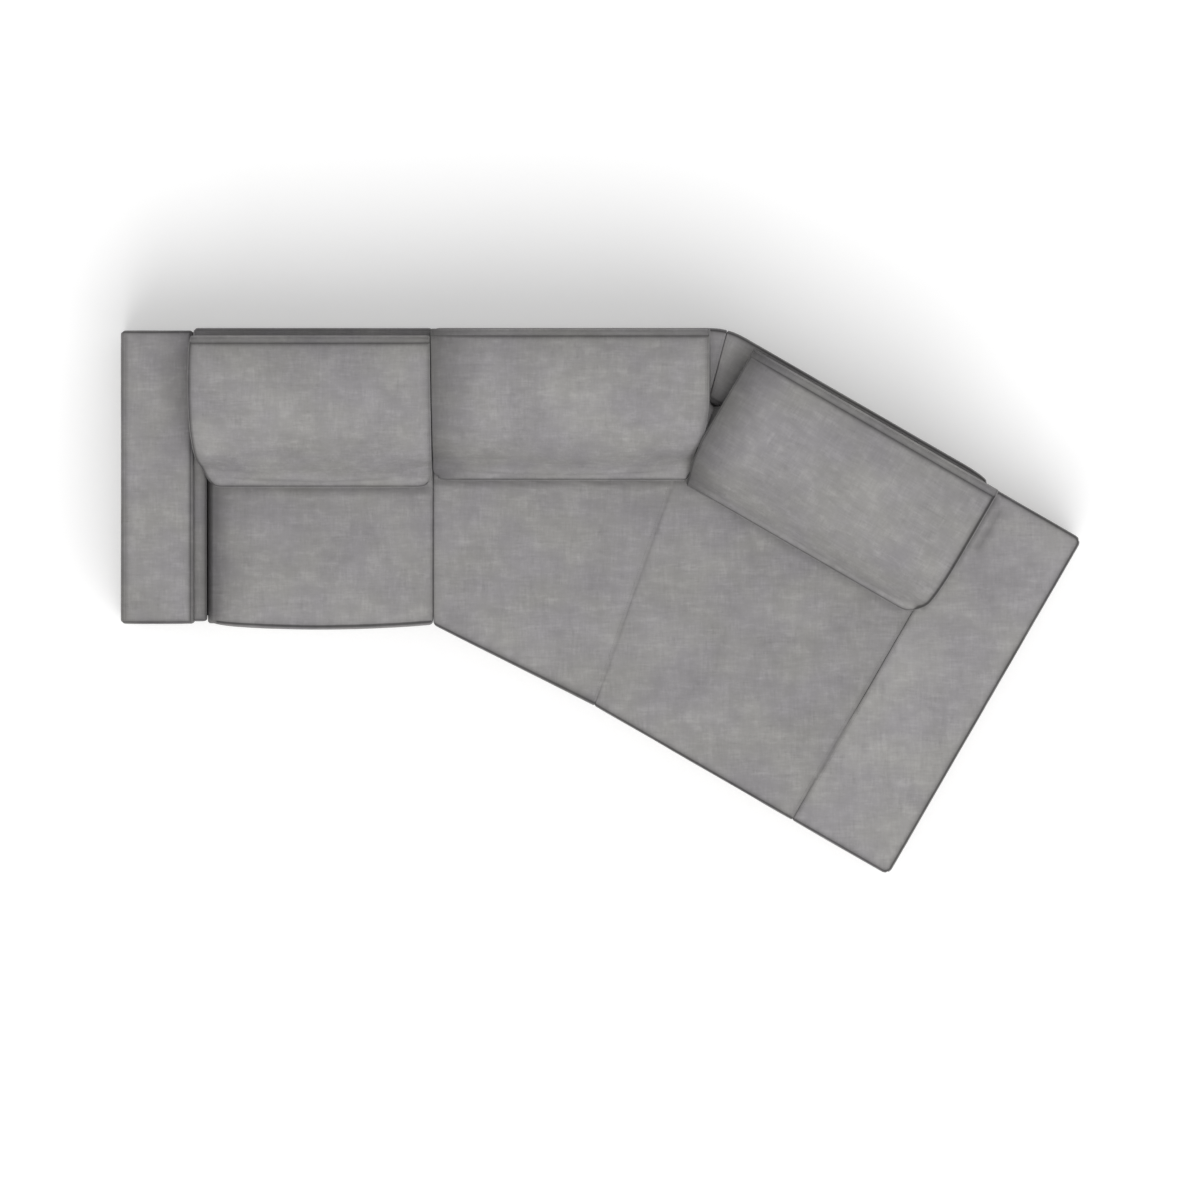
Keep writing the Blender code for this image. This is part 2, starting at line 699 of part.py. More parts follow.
def make_corner_panels():
    # Padded panels round the corner unit's base; the end panel wraps its two rounded corners.
    outline = corner_unit_front()
    outline.append(middle_point(ALONG_JOINT + MODULE_GAP, SEAT_REAR))
    far = offset_outline(outline, [PANEL_INSET] * len(outline))
    near = offset_outline(outline, [PANEL_BACK] * len(outline))
    middle = side_board(far, near, 0)
    middle[0] = crossing(far[0], (far[1][0] - far[0][0], far[1][1] - far[0][1]), outline[0], outline[5])
    middle[3] = crossing(near[0], (far[1][0] - far[0][0], far[1][1] - far[0][1]), outline[0], outline[5])
    panel_block("middle_front_panel", middle, (0,))
    left = WING_LENGTH - END_PANEL_BACK
    right = side_board(far, near, 1)
    right[1] = wing_point(left - TOUCH, WING_DEPTH - PANEL_INSET)
    right[2] = wing_point(left - TOUCH, WING_DEPTH - PANEL_BACK)
    panel_block("right_front_panel", right, (0,))
    rear = PLATFORM_SETBACK + PANEL_INSET
    end = rectangle(left, WING_LENGTH - PANEL_INSET, rear, WING_DEPTH - PANEL_INSET, wing_point)
    panel_block("end_panel", end, (0, 1, 2), [0.0, PAD_CORNER, PAD_CORNER, 0.0])
    back = rectangle(SEAM_2_ALONG, left - TOUCH, rear, rear + PANEL_THICKNESS, wing_point)
    panel_block("platform_back_panel", back, (2,))


# The left unit's base stays put; the carriage carries its springs, seat pad and front panel
LEFT_PANEL_FRONT = SEAT_DEPTH - PANEL_INSET
LEFT_PANEL_BACK = LEFT_PANEL_FRONT - PANEL_THICKNESS
BASE_FRONT = LEFT_PANEL_BACK - CARRIAGE_CLEARANCE
BASE_LEFT = ALONG_PAD_RIGHT + TOUCH
BASE_RIGHT = ALONG_JOINT - MODULE_GAP
RUNNER_LEFT = BASE_LEFT + BOARD + TOUCH
RUNNER_RIGHT = BASE_RIGHT - BOARD - TOUCH
CARRIAGE_GAP = RUNNER_WIDTH + 0.001
CARRIAGE_REAR = SEAT_REAR + BOARD + CARRIAGE_CLEARANCE
CARRIAGE_FRONT = LEFT_PANEL_BACK - TOUCH


def make_left_base():
    inner_left = BASE_LEFT + BOARD + TOUCH
    inner_right = BASE_RIGHT - BOARD - TOUCH
    boards = {
        "left_side_rail_arm": (BASE_LEFT, BASE_LEFT + BOARD, SEAT_REAR, BASE_FRONT, BASE_SIDE_TOP),
        "left_side_rail_open": (BASE_RIGHT - BOARD, BASE_RIGHT, SEAT_REAR, BASE_FRONT, BASE_SIDE_TOP),
        "left_back_rail": (inner_left, inner_right, SEAT_REAR, SEAT_REAR + BOARD, BASE_SIDE_TOP),
        "left_low_front_rail": (inner_left, inner_right, BASE_FRONT - BOARD, BASE_FRONT, LOW_RAIL_TOP),
    }
    for name, (left, right, rear, front, high) in boards.items():
        block(name, rectangle(left, right, rear, front), FLOOR_GAP, high, timber(name))


def make_carriage():
    left = RUNNER_LEFT + CARRIAGE_GAP
    right = RUNNER_RIGHT - CARRIAGE_GAP
    front = CARRIAGE_FRONT - BOARD
    boards = {
        "carriage_side_arm": (left, left + BOARD, CARRIAGE_REAR, front - TOUCH),
        "carriage_side_open": (right - BOARD, right, CARRIAGE_REAR, front - TOUCH),
        "carriage_back": (
            left + BOARD + TOUCH, right - BOARD - TOUCH, CARRIAGE_REAR, CARRIAGE_REAR + BOARD,
        ),
        "carriage_front": (left, right, front, CARRIAGE_FRONT),
    }
    for name, (start, end, rear, ahead) in boards.items():
        block(name, rectangle(start, end, rear, ahead), CARRIAGE_BOTTOM, RAIL_TOP, timber(name))
    panel = rectangle(ALONG_SEAT_LEFT, ALONG_SEAT_RIGHT, LEFT_PANEL_BACK, LEFT_PANEL_FRONT)
    panel_block("left_front_panel", panel, (0,), [PANEL_EDGE, PANEL_EDGE, 0.0, 0.0])


def section_bar(name, section, rear, front, material):
    # A bar of one (along, height) section that runs from back to front.
    count = len(section)
    vertices = []
    for depth in (rear, front):
        for along, height in section:
            x, y = middle_point(along, depth)
            vertices.append((x + SHIFT[0], y + SHIFT[1], height))
    faces = [list(range(count)), list(range(2 * count - 1, count - 1, -1))]
    for index in range(count):
        following = (index + 1) % count
        faces.append((index, count + index, count + following, following))
    return turned_outwards(add_object(name, vertices, faces, material))


def turned_outwards(item):
    mesh = bmesh.new()
    mesh.from_mesh(item.data)
    bmesh.ops.recalc_face_normals(mesh, faces=mesh.faces)
    mesh.to_mesh(item.data)
    mesh.free()
    return item


def make_runners():
    # A channel on each base side and a bar on the carriage that slides in it.
    front = BASE_FRONT - CARRIAGE_CLEARANCE
    low = RUNNER_CENTRE_Z - RUNNER_HEIGHT / 2.0
    high = low + RUNNER_HEIGHT
    inner_low = low + RUNNER_WALL
    inner_high = high - RUNNER_WALL
    for side, start, way in (("arm", RUNNER_LEFT, 1.0), ("open", RUNNER_RIGHT, -1.0)):
        wall = start + way * RUNNER_WALL
        lip = start + way * RUNNER_WIDTH
        channel = [
            (start, low), (lip, low), (lip, inner_low), (wall, inner_low),
            (wall, inner_high), (lip, inner_high), (lip, high), (start, high),
        ]
        name = f"runner_channel_{side}"
        section_bar(name, channel, front - RUNNER_LENGTH, front, steel(name))
        near = wall + way * SLIDE_PLAY
        far = start + way * (CARRIAGE_GAP - TOUCH)
        bar_low = inner_low + SLIDE_PLAY
        bar_high = inner_high - SLIDE_PLAY
        bar = [(near, bar_low), (far, bar_low), (far, bar_high), (near, bar_high)]
        name = f"runner_slide_{side}"
        section_bar(name, bar, front - RUNNER_LENGTH, front, steel(name))


def spring_path(along, rear, front, wave_end):
    # A flat zigzag: a straight lead, waves that fill the length up to wave_end, a straight lead.
    lead = SPRING_PITCH / 4.0
    waves = max(int((wave_end - rear - 2.0 * lead) / SPRING_PITCH), 1)
    pitch = (wave_end - rear - 2.0 * lead) / waves
    points = [(along, rear), (along, rear + lead)]
    for wave in range(waves):
        start = rear + lead + wave * pitch
        for share, side in SPRING_TURNS:
            points.append((along + side * SPRING_WAVE / 2.0, start + share * pitch))
    points.append((along, wave_end - lead))
    points.append((along, front))
    return points


def wire_outline(points, half):
    # Both sides of a path, half a wire away, as one closed outline.
    sides = ([], [])
    for index, (x, y) in enumerate(points):
        before = points[max(index - 1, 0)]
        after = points[min(index + 1, len(points) - 1)]
        directions = []
        for (xa, ya), (xb, yb) in ((before, (x, y)), ((x, y), after)):
            length = math.hypot(xb - xa, yb - ya)
            if length > 0.0:
                directions.append(((xb - xa) / length, (yb - ya) / length))
        first, last = directions[0], directions[-1]
        bend = 1.0 + first[0] * last[0] + first[1] * last[1]
        normal = (-(first[1] + last[1]) / bend, (first[0] + last[0]) / bend)
        sides[0].append((x + normal[0] * half, y + normal[1] * half))
        sides[1].append((x - normal[0] * half, y - normal[1] * half))
    return sides[0] + sides[1][::-1]


def flat_bodies(name, outlines, low, high, material, place):
    # Level plates of one thickness, kept in one object.
    vertices = []
    faces = []
    for outline in outlines:
        first = len(vertices)
        count = len(outline)
        for height in (low, high):
            for along, depth in outline:
                x, y = place(along, depth)
                vertices.append((x + SHIFT[0], y + SHIFT[1], height))
        faces.append([first + index for index in range(count)])
        faces.append([first + count + index for index in reversed(range(count))])
        for index in range(count):
            following = (index + 1) % count
            low_side = (first + index, first + following)
            faces.append((*low_side, first + count + following, first + count + index))
    return turned_outwards(add_object(name, vertices, faces, material))


def make_springs(name, place, rear, runs):
    # Zigzag springs, held together by two tie wires that cross them all.
    material = steel(name)
    low = RAIL_TOP - SPRING_DROP
    half = SPRING_WIRE / 2.0
    zigzags = []
    for along, front, wave_end in runs:
        zigzags.append(wire_outline(spring_path(along, rear + TOUCH, front, wave_end), half))
    springs = flat_bodies(name, zigzags, low, low + SPRING_WIRE, material, place)
    shortest = min(wave_end for along, front, wave_end in runs)
    reach = SPRING_WAVE / 2.0 + SPRING_WIRE
    start = min(run[0] for run in runs) - reach
    end = max(run[0] for run in runs) + reach
    ties = []
    for share in TIE_SHARES:
        depth = rear + (shortest - rear) * share
        ties.append([
            (start, depth - half), (end, depth - half), (end, depth + half), (start, depth + half),
        ])
    tie_low = low + TIE_LIFT
    cutter = flat_bodies(f"{name}_ties", ties, tie_low, tie_low + SPRING_WIRE, material, place)
    cutter.hide_render = True
    cutter.display_type = "WIRE"
    union = springs.modifiers.new("ties", "BOOLEAN")
    union.operation = "UNION"
    union.object = cutter


def spaced(start, end):
    count = max(int((end - start) / SPRING_SPACING), 1)
    return [start + (end - start) * index / count for index in range(count + 1)]


def make_all_springs():
    left = RUNNER_LEFT + CARRIAGE_GAP + BOARD + SPRING_EDGE
    right = RUNNER_RIGHT - CARRIAGE_GAP - BOARD - SPRING_EDGE
    front = CARRIAGE_FRONT - BOARD - TOUCH
    runs = [(along, front, front) for along in spaced(left, right)]
    make_springs("left_seat_springs", middle_point, CARRIAGE_REAR + BOARD, runs)
    far, near = corner_frame_lines()
    front = WING_DEPTH - RAIL_DEPTHS[1] - BOARD - TOUCH
    first = SEAM_1_START + SPRING_EDGE
    runs = [(along, front, front) for along in spaced(first, SEAM_2_ALONG - SPRING_EDGE)]
    make_springs("right_seat_springs", wing_point, SEAT_REAR + BOARD, runs)
    rail = cross_rail_1(near)
    slope = math.tan(math.atan2(near[0][1] - near[1][1], near[1][0] - near[0][0]))
    runs = []
    start = ALONG_JOINT + MODULE_GAP + BOARD + SPRING_EDGE
    for along in spaced(start, -SEAT_REAR):
        ahead = (0.0, -1.0)
        to_front = -crossing((along, 0.0), ahead, near[0], near[1])[1] - slope * SPRING_WIRE / 2.0
        to_rail = -crossing((along + SPRING_WIRE, 0.0), ahead, rail[0], rail[1])[1]
        wave = -crossing((along + SPRING_WAVE / 2.0 + SPRING_WIRE, 0.0), ahead, rail[0], rail[1])[1]
        front = min(to_front, to_rail) - TOUCH
        runs.append((along, front, min(front - slope * SPRING_WAVE / 2.0, wave)))
    make_springs("middle_seat_springs", middle_point, SEAT_REAR + BOARD, runs)


def make_feet():
    near_joint = FOOT_TOP_RADIUS + MODULE_GAP + FOOT_JOINT_GAP
    left_front = BASE_FRONT - FOOT_TOP_RADIUS
    middle_front = SEAT_DEPTH - RAIL_DEPTHS[0] - FOOT_TOP_RADIUS - TOUCH
    seam = wing_point(SEAM_1_START, WING_DEPTH)
    inward = 1.0 - FOOT_SEAM_INSET / math.hypot(*seam)
    platform_front = WING_DEPTH - FOOT_INSET
    places = {
        "foot_arm_front": middle_point(ALONG_ARM_LEFT + FOOT_INSET, ARM_FRONT - FOOT_INSET),
        "foot_arm_back": middle_point(ALONG_ARM_LEFT + FOOT_INSET, ARM_SETBACK + FOOT_INSET),
        "foot_left_front": middle_point(ALONG_JOINT - near_joint, left_front),
        "foot_left_back": middle_point(ALONG_JOINT - near_joint, FOOT_INSET),
        "foot_middle_front": middle_point(ALONG_JOINT + near_joint, middle_front),
        "foot_middle_back": middle_point(ALONG_JOINT + near_joint, FOOT_INSET),
        "foot_corner": middle_point(-FOOT_INSET * MITRE, FOOT_INSET),
        "foot_seam_front": (seam[0] * inward, seam[1] * inward),
        "foot_end_front": wing_point(WING_LENGTH - FOOT_INSET, platform_front),
        "foot_end_back": wing_point(WING_LENGTH - FOOT_INSET, PLATFORM_SETBACK + FOOT_INSET),
    }
    levels = [
        (0.0, FOOT_BOTTOM_RADIUS - FOOT_EDGE), (FOOT_EDGE, FOOT_BOTTOM_RADIUS),
        (FLOOR_GAP - TOUCH, FOOT_TOP_RADIUS),
    ]
    for name, (x, y) in places.items():
        rings = []
        for height, radius in levels:
            turns = [2.0 * math.pi * side / FOOT_SIDES for side in range(FOOT_SIDES)]
            rings.append([(x + radius * math.cos(a), y + radius * math.sin(a), height) for a in turns])
        loft(name, rings, plastic(name))


def make_connectors():
    # Flat steel hooks under the joint between the units: a T-shaped tongue lies in a T-shaped slot.
    gap = MODULE_GAP
    side = CATCH_WIDTH / 2.0
    neck = CATCH_NECK / 2.0
    head = CATCH_HEAD / 2.0
    lip = gap + CATCH_LIP
    end = lip + CATCH_HEAD_LENGTH
    play = CONNECTOR_PLAY
    catch = [
        (-CATCH_LENGTH, -side), (-gap, -side), (-gap, -neck), (-lip, -neck), (-lip, -head), (-end, -head),
        (-end, head), (-lip, head), (-lip, neck), (-gap, neck), (-gap, side), (-CATCH_LENGTH, side),
    ]
    hook = [
        (gap, -side), (CATCH_LENGTH, -side), (CATCH_LENGTH, side), (gap, side), (gap, neck - play),
        (-lip - play, neck - play), (-lip - play, head - play), (-end + play, head - play),
        (-end + play, play - head), (-lip - play, play - head), (-lip - play, play - neck),
        (gap, play - neck),
    ]
    high = FLOOR_GAP - TOUCH
    for place, depth in (("front", SEAT_DEPTH - CATCH_INSET), ("back", SEAT_REAR + CATCH_INSET)):
        for kind, outline in (("catch", catch), ("hook", hook)):
            name = f"joint_{kind}_{place}"
            moved = [(ALONG_JOINT + along, depth + across) for along, across in outline]
            flat_bodies(name, [moved], high - PLATE, high, steel(name), middle_point)


def build():
    clear_scene()
    make_arm()
    make_backs()
    make_back_cushions()
    make_left_seat_pad()
    make_corner_pads()
    make_corner_panels()
    make_corner_base()
    make_left_base()
    make_carriage()
    make_runners()
    make_all_springs()
    make_feet()
    make_connectors()


build()
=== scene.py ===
# Angled sectional sofa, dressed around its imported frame. Metres, +Z up, +Y to the back, +X to the right.
import math

import bpy
import numpy as np
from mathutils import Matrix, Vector, noise
from mathutils.bvhtree import BVHTree
from mathutils.interpolate import poly_3d_calc
from mathutils.kdtree import KDTree


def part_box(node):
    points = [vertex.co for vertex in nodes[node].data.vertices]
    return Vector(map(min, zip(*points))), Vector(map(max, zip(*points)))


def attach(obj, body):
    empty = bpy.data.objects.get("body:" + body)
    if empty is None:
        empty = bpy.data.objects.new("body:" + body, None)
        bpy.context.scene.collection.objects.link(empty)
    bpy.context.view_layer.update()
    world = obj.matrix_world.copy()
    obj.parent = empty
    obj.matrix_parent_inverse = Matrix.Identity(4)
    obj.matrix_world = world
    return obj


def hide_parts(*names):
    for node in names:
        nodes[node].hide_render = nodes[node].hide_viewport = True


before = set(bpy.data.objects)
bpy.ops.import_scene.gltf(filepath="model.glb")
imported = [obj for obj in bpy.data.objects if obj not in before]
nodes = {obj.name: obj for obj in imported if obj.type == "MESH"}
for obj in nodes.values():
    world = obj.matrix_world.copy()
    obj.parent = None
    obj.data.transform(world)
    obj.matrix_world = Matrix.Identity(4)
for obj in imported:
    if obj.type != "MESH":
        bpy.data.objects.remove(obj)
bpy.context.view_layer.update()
print("frame:", len(nodes), "nodes")

# The plan hangs on the back corner, where the middle back meets the wing's back.
plan = {
    "cornerX": 0.448035, "cornerY": 0.951219, "wingTurn": math.radians(30.0), "jointAlong": -1.030,
    "unitDepth": 1.038, "backDepth": 0.262, "wingDepth": 1.378, "wingLength": 1.443, "seam1Start": 0.256,
    "seam2Along": 1.055, "platformSetback": 0.020, "unitGap": 0.0015, "touch": 0.0003,
}
wingTurn, touch = plan["wingTurn"], plan["touch"]
wingCos, wingSin = math.cos(wingTurn), math.sin(wingTurn)
unitDepth, backDepth, wingDepth = plan["unitDepth"], plan["backDepth"], plan["wingDepth"]
wingLength, seam2, platformRear = plan["wingLength"], plan["seam2Along"], plan["platformSetback"]


def middlePoint(along, depth):
    return (plan["cornerX"] + along, plan["cornerY"] - depth)


def wingPoint(along, depth):
    return (plan["cornerX"] + along * wingCos - depth * wingSin, plan["cornerY"] - along * wingSin - depth * wingCos)


def addObject(name, data):
    item = bpy.data.objects.new(name, data)
    bpy.context.scene.collection.objects.link(item)
    return item


# Nodes: an input takes a link or a value, and a colour may leave out its alpha
def feedAll(tree, node, inputs):
    for key, value in inputs.items():
        socket = node.inputs[key]
        if isinstance(value, bpy.types.NodeSocket):
            tree.links.new(value, socket)
        elif socket.type == "RGBA" and len(value) == 3:
            socket.default_value = (*value, 1.0)
        else:
            socket.default_value = value


def addNode(tree, kind, inputs=None, **settings):
    node = tree.nodes.new(kind)
    for key, value in settings.items():
        setattr(node, key, value)
    feedAll(tree, node, inputs or {})
    return node


def addMath(tree, operation, *values, clamp=False):
    return addNode(tree, "ShaderNodeMath", dict(enumerate(values)), operation=operation, use_clamp=clamp).outputs[0]


def addNoise(tree, vector, scale, detail=3.0, roughness=0.5):
    inputs = {"Vector": vector, "Scale": scale, "Detail": detail, "Roughness": roughness}
    return addNode(tree, "ShaderNodeTexNoise", inputs).outputs[0]


def addStretch(tree, vector, scale):
    return addNode(tree, "ShaderNodeMapping", {"Vector": vector, "Scale": scale}).outputs[0]


def addMix(tree, factor, first, second, blend="MIX"):
    inputs = {0: factor, 6: first, 7: second}
    return addNode(tree, "ShaderNodeMix", inputs, data_type="RGBA", blend_type=blend).outputs[2]


def addRange(tree, value, low, high, toLow=0.0, toHigh=1.0):
    inputs = {"Value": value, "From Min": low, "From Max": high, "To Min": toLow, "To Max": toHigh}
    return addNode(tree, "ShaderNodeMapRange", inputs).outputs[0]


def addBump(tree, shader, height, strength, distance):
    bump = addNode(tree, "ShaderNodeBump", {"Strength": strength, "Distance": distance, "Height": height})
    tree.links.new(bump.outputs[0], shader.inputs["Normal"])


def newGroup(name, inputs, outputs, kind="ShaderNodeTree"):
    tree = bpy.data.node_groups.new(name, kind)
    for way, sockets in (("INPUT", inputs), ("OUTPUT", outputs)):
        for label, socketKind in sockets:
            tree.interface.new_socket(name=label, in_out=way, socket_type="NodeSocket" + socketKind)
    return tree, tree.nodes.new("NodeGroupInput"), tree.nodes.new("NodeGroupOutput")


# Fabric: a grey velour with crossed streaks, blotches and a short pile; seamShade is how dark the seam lines and the
# painted shade make it
fabricLook = {
    "coolGrey": (0.281, 0.272, 0.279), "warmGrey": (0.303, 0.296, 0.288), "seamShade": 0.28,
    "blotchScale": 6.5, "streakLength": 8.0, "streakFine": 40.0, "blotchStrength": 0.47, "streakStrength": 0.42,
    "roughness": 0.93, "roughSway": 0.06, "pileBump": 0.22, "pileDepth": 0.0006, "specular": 0.15,
    "sheen": 0.04, "sheenRoughness": 0.4, "crossed": 0.8, "slanted": 0.35, "slub": 0.55, "patch": 0.7,
}


def makeClothTone():
    # Soft crossed streaks and broad blotches that drift between a cool and a warm grey.
    tree, start, end = newGroup(
        "clothTone",
        [("Vector", "Vector"), ("Cool", "Color"), ("Warm", "Color"), ("Blotch", "Float"), ("Streak", "Float")],
        [("Color", "Color"), ("Tone", "Float")],
    )
    vector, scale = start.outputs["Vector"], fabricLook["blotchScale"]
    long, fine = fabricLook["streakLength"], fabricLook["streakFine"]
    crossedShare, slantedShare, slubShare, patchShare = (
        fabricLook[key] for key in ("crossed", "slanted", "slub", "patch"))

    def plus(first, second):
        return addMath(tree, "ADD", first, second)

    def times(first, second):
        return addMath(tree, "MULTIPLY", first, second)

    def weave(stretch, detail, roughness):
        return addNoise(tree, addStretch(tree, vector, stretch), 1.0, detail, roughness)

    broad = addNoise(tree, vector, scale, 5.0, 0.62)
    patch = addNoise(tree, addStretch(tree, vector, (1.0, 1.5, 1.2)), scale * 2.7, 4.0, 0.62)
    level, crossed, slanted = (weave(stretch, 4.0, 0.72) for stretch in (
        (long, fine, fine * 0.5), (fine, long, fine * 0.5), (fine * 0.6, fine * 0.6, long)))
    weft, warp = (weave(stretch, 2.0, 0.6) for stretch in (
        (long * 2.6, fine * 3.2, fine), (fine * 3.2, long * 2.6, fine)))
    # the level streaks are stronger than the crossing ones, with fine slubs over both; each noise averages 0.5
    streak = plus(plus(level, times(crossed, crossedShare)), times(slanted, slantedShare))
    streak = addMath(tree, "SUBTRACT", plus(streak, times(plus(weft, warp), slubShare)),
                     0.5 * (1.0 + crossedShare + slantedShare) + slubShare)
    # and they show more in some patches than in others
    streak = times(streak, addRange(tree, patch, 0.38, 0.62, 0.25, 1.25))
    blotch = addMath(tree, "SUBTRACT", plus(broad, times(patch, patchShare)), 0.5 * (1.0 + patchShare))
    tone = plus(plus(times(streak, start.outputs["Streak"]), times(blotch, start.outputs["Blotch"])), 1.0)
    drift = addRange(tree, addNoise(tree, vector, scale * 0.8, 2.0), 0.36, 0.64)
    colour = addMix(tree, drift, start.outputs["Cool"], start.outputs["Warm"])
    grey = addNode(tree, "ShaderNodeCombineColor", {0: tone, 1: tone, 2: tone}).outputs[0]
    feedAll(tree, end, {"Color": addMix(tree, 1.0, colour, grey, "MULTIPLY"), "Tone": tone})
    return tree


def makePile():
    # Short pile over a fine crossed weave, as a height.
    tree, start, end = newGroup("clothPile", [("Vector", "Vector")], [("Height", "Float")])
    vector = start.outputs["Vector"]
    pile = addNoise(tree, vector, 620.0, 2.0)
    threads, crossed = (addNoise(tree, addStretch(tree, vector, stretch), 1.0, 1.0)
                        for stretch in ((160.0, 900.0, 500.0), (900.0, 160.0, 500.0)))
    woven = addMath(tree, "MULTIPLY", addMath(tree, "ADD", threads, crossed), 0.6)
    feedAll(tree, end, {"Height": addMath(tree, "ADD", pile, woven)})
    return tree


def makeGrain():
    # Growth rings stretched along the board, with fine pores, as a mask and a height.
    tree, start, end = newGroup(
        "woodGrain", [("Vector", "Vector"), ("Rings", "Float")], [("Mask", "Float"), ("Height", "Float")])
    vector = start.outputs["Vector"]
    waves = addNoise(tree, addStretch(tree, vector, (0.06, 1.0, 1.0)), 9.0, 3.0)
    rings = addMath(tree, "SINE", addMath(tree, "MULTIPLY", waves, start.outputs["Rings"]))
    pores = addNoise(tree, addStretch(tree, vector, (18.0, 700.0, 700.0)), 1.0, 2.0)
    rough = addMath(tree, "MULTIPLY", addMath(tree, "SUBTRACT", pores, 0.5), 0.7)
    mask = addMath(tree, "ADD", addMath(tree, "MULTIPLY_ADD", rings, 0.35, 0.5), rough, clamp=True)
    feedAll(tree, end, {"Mask": mask, "Height": pores})
    return tree


clothTone, clothPile, woodGrain = makeClothTone(), makePile(), makeGrain()


def startMaterial(name, turn=0.0, offset=(0.0, 0.0, 0.0)):
    # The material, its tree and shader, and object coordinates turned about the upright
    material = bpy.data.materials.new(name)
    material.use_nodes = True
    tree = material.node_tree
    place = tree.nodes.new("ShaderNodeTexCoord").outputs["Object"]
    if turn or any(offset):
        inputs = {"Vector": place, "Rotation": (0.0, 0.0, turn), "Location": offset}
        place = addNode(tree, "ShaderNodeMapping", inputs).outputs[0]
    return material, tree, tree.nodes["Principled BSDF"], place


def fabricMaterial(name, turn=0.0, offset=(0.0, 0.0, 0.0), shade=1.0):
    look = fabricLook
    material, tree, shader, place = startMaterial(name, turn, offset)
    cool, warm = (tuple(value * shade for value in look[key]) for key in ("coolGrey", "warmGrey"))
    inputs = {"Vector": place, "Cool": cool, "Warm": warm, "Blotch": look["blotchStrength"],
              "Streak": look["streakStrength"]}
    tone = addNode(tree, "ShaderNodeGroup", inputs, node_tree=clothTone)
    pile = addNode(tree, "ShaderNodeGroup", {"Vector": place}, node_tree=clothPile)
    seamAndPaintedShade = addNode(tree, "ShaderNodeAttribute", attribute_name="seamAndPaintedShade").outputs["Fac"]
    colour, sway = tone.outputs["Color"], look["roughSway"]
    # this darkening is dark seam lines and painted shade: beside seams and edges, along pressed lines, on rolls and
    # towards cushion ends
    dark = addMix(tree, 1.0, colour, (look["seamShade"],) * 3, "MULTIPLY")
    addBump(tree, shader, pile.outputs[0], look["pileBump"], look["pileDepth"])
    feedAll(tree, shader, {
        "Base Color": addMix(tree, seamAndPaintedShade, colour, dark),
        "Roughness": addMath(tree, "MULTIPLY_ADD", tone.outputs["Tone"], sway, look["roughness"] - sway),
        "Specular IOR Level": look["specular"], "Sheen Weight": look["sheen"],
        "Sheen Roughness": look["sheenRoughness"],
    })
    return material


woodLook = {
    "pine": ((0.40, 0.25, 0.12), (0.62, 0.44, 0.25)), "plywood": ((0.50, 0.36, 0.20), (0.66, 0.52, 0.34)),
    "ringScale": 38.0, "roughness": 0.62, "poreBump": (0.25, 0.0005),
}


def woodMaterial(kind, way, turn):
    material, tree, shader, place = startMaterial(kind + "_" + way, turn)
    grain = addNode(tree, "ShaderNodeGroup", {"Vector": place, "Rings": woodLook["ringScale"]}, node_tree=woodGrain)
    addBump(tree, shader, grain.outputs["Height"], *woodLook["poreBump"])
    feedAll(tree, shader, {"Base Color": addMix(tree, grain.outputs["Mask"], *woodLook[kind]),
                           "Roughness": woodLook["roughness"]})
    return material


def speckledMaterial(name, dark, light, fleck, roughness, bump=None, stretch=None, metal=0.0):
    # Two colours mixed by a noise; fleck and bump begin with a noise's scale and detail.
    material, tree, shader, place = startMaterial(name)
    if stretch:
        place = addStretch(tree, place, stretch)
    cloud = addNoise(tree, place, *fleck)
    if bump:
        addBump(tree, shader, addNoise(tree, place, *bump[:2]), *bump[2:])
    if metal:
        roughness = addMath(tree, "MULTIPLY_ADD", cloud, 0.25, roughness - 0.12)
    feedAll(tree, shader, {"Base Color": addMix(tree, cloud, dark, light), "Roughness": roughness, "Metallic": metal})
    return material


fabrics = {
    "level": fabricMaterial("greyVelour"),
    "leftCushion": fabricMaterial("greyVelourLeft", 0.0, (0.37, 1.91, 0.6)),
    "middleCushion": fabricMaterial("greyVelourMiddle", 0.0, (2.83, 0.47, 1.9)),
    "wing": fabricMaterial("greyVelourWing", wingTurn, (1.13, 3.07, 0.2)),
    "seat": fabricMaterial("greyVelourSeat", 0.0, (4.21, 2.33, 0.9)),
    # painted light: the platform's velour is the same cloth made 10 per cent lighter
    "platform": fabricMaterial("greyVelourPlatform", 0.0, (6.32, 1.75, 0.4), 1.10),
}
print("materials: fabric, timber, steel and plastic groups")


# Upholstery blocks: the skin of a box of rows, rounded, then bent to its place
# dark seam lines with painted shade falling off beside them, painted shade along pressed lines, and the seams' grooves
seamAndShadeLook = {
    "rows": (0.0036, 0.009, 0.020), "closest": 0.0019, "depth": 0.0024,
    "shade": ((0.0, 0.0036, 0.009, 0.022), (1.0, 0.70, 0.22, 0.0)),
    "contact": ((0.0, 0.006, 0.022), (1.0, 0.75, 0.0)),
    "groove": ((0.0, 0.0034, 0.009), (1.0, 0.30, 0.0)),
}
# far stands for no line near, and tiny is as good as nothing
far = 9.0
tiny = 1e-9


def rowsBetween(length, lowEdge, highEdge, step, marks=()):
    # Close rows at both edges, even rows between them, and close rows beside each mark.
    low = [lowEdge * share for share in (0.4, 1.0, 1.9)]
    high = [length - highEdge * share for share in (1.9, 1.0, 0.4)]
    count = max(int(round((high[0] - low[-1]) / step)), 1)
    even = [low[-1] + (high[0] - low[-1]) * index / count for index in range(1, count)]
    beside = [mark + side * reach for reach in seamAndShadeLook["rows"] for mark in marks for side in (-1.0, 1.0)]
    rows = [0.0, length] + [mark for mark in marks if 0.0 < mark < length]
    for row in beside + low + high + even:
        if 0.0 < row < length and all(abs(row - other) > seamAndShadeLook["closest"] for other in rows):
            rows.append(row)
    return sorted(rows)


def seamShade(distance):
    return np.interp(distance, *seamAndShadeLook["shade"])


def seamGroove(distance):
    return np.interp(distance, *seamAndShadeLook["groove"]) * seamAndShadeLook["depth"]


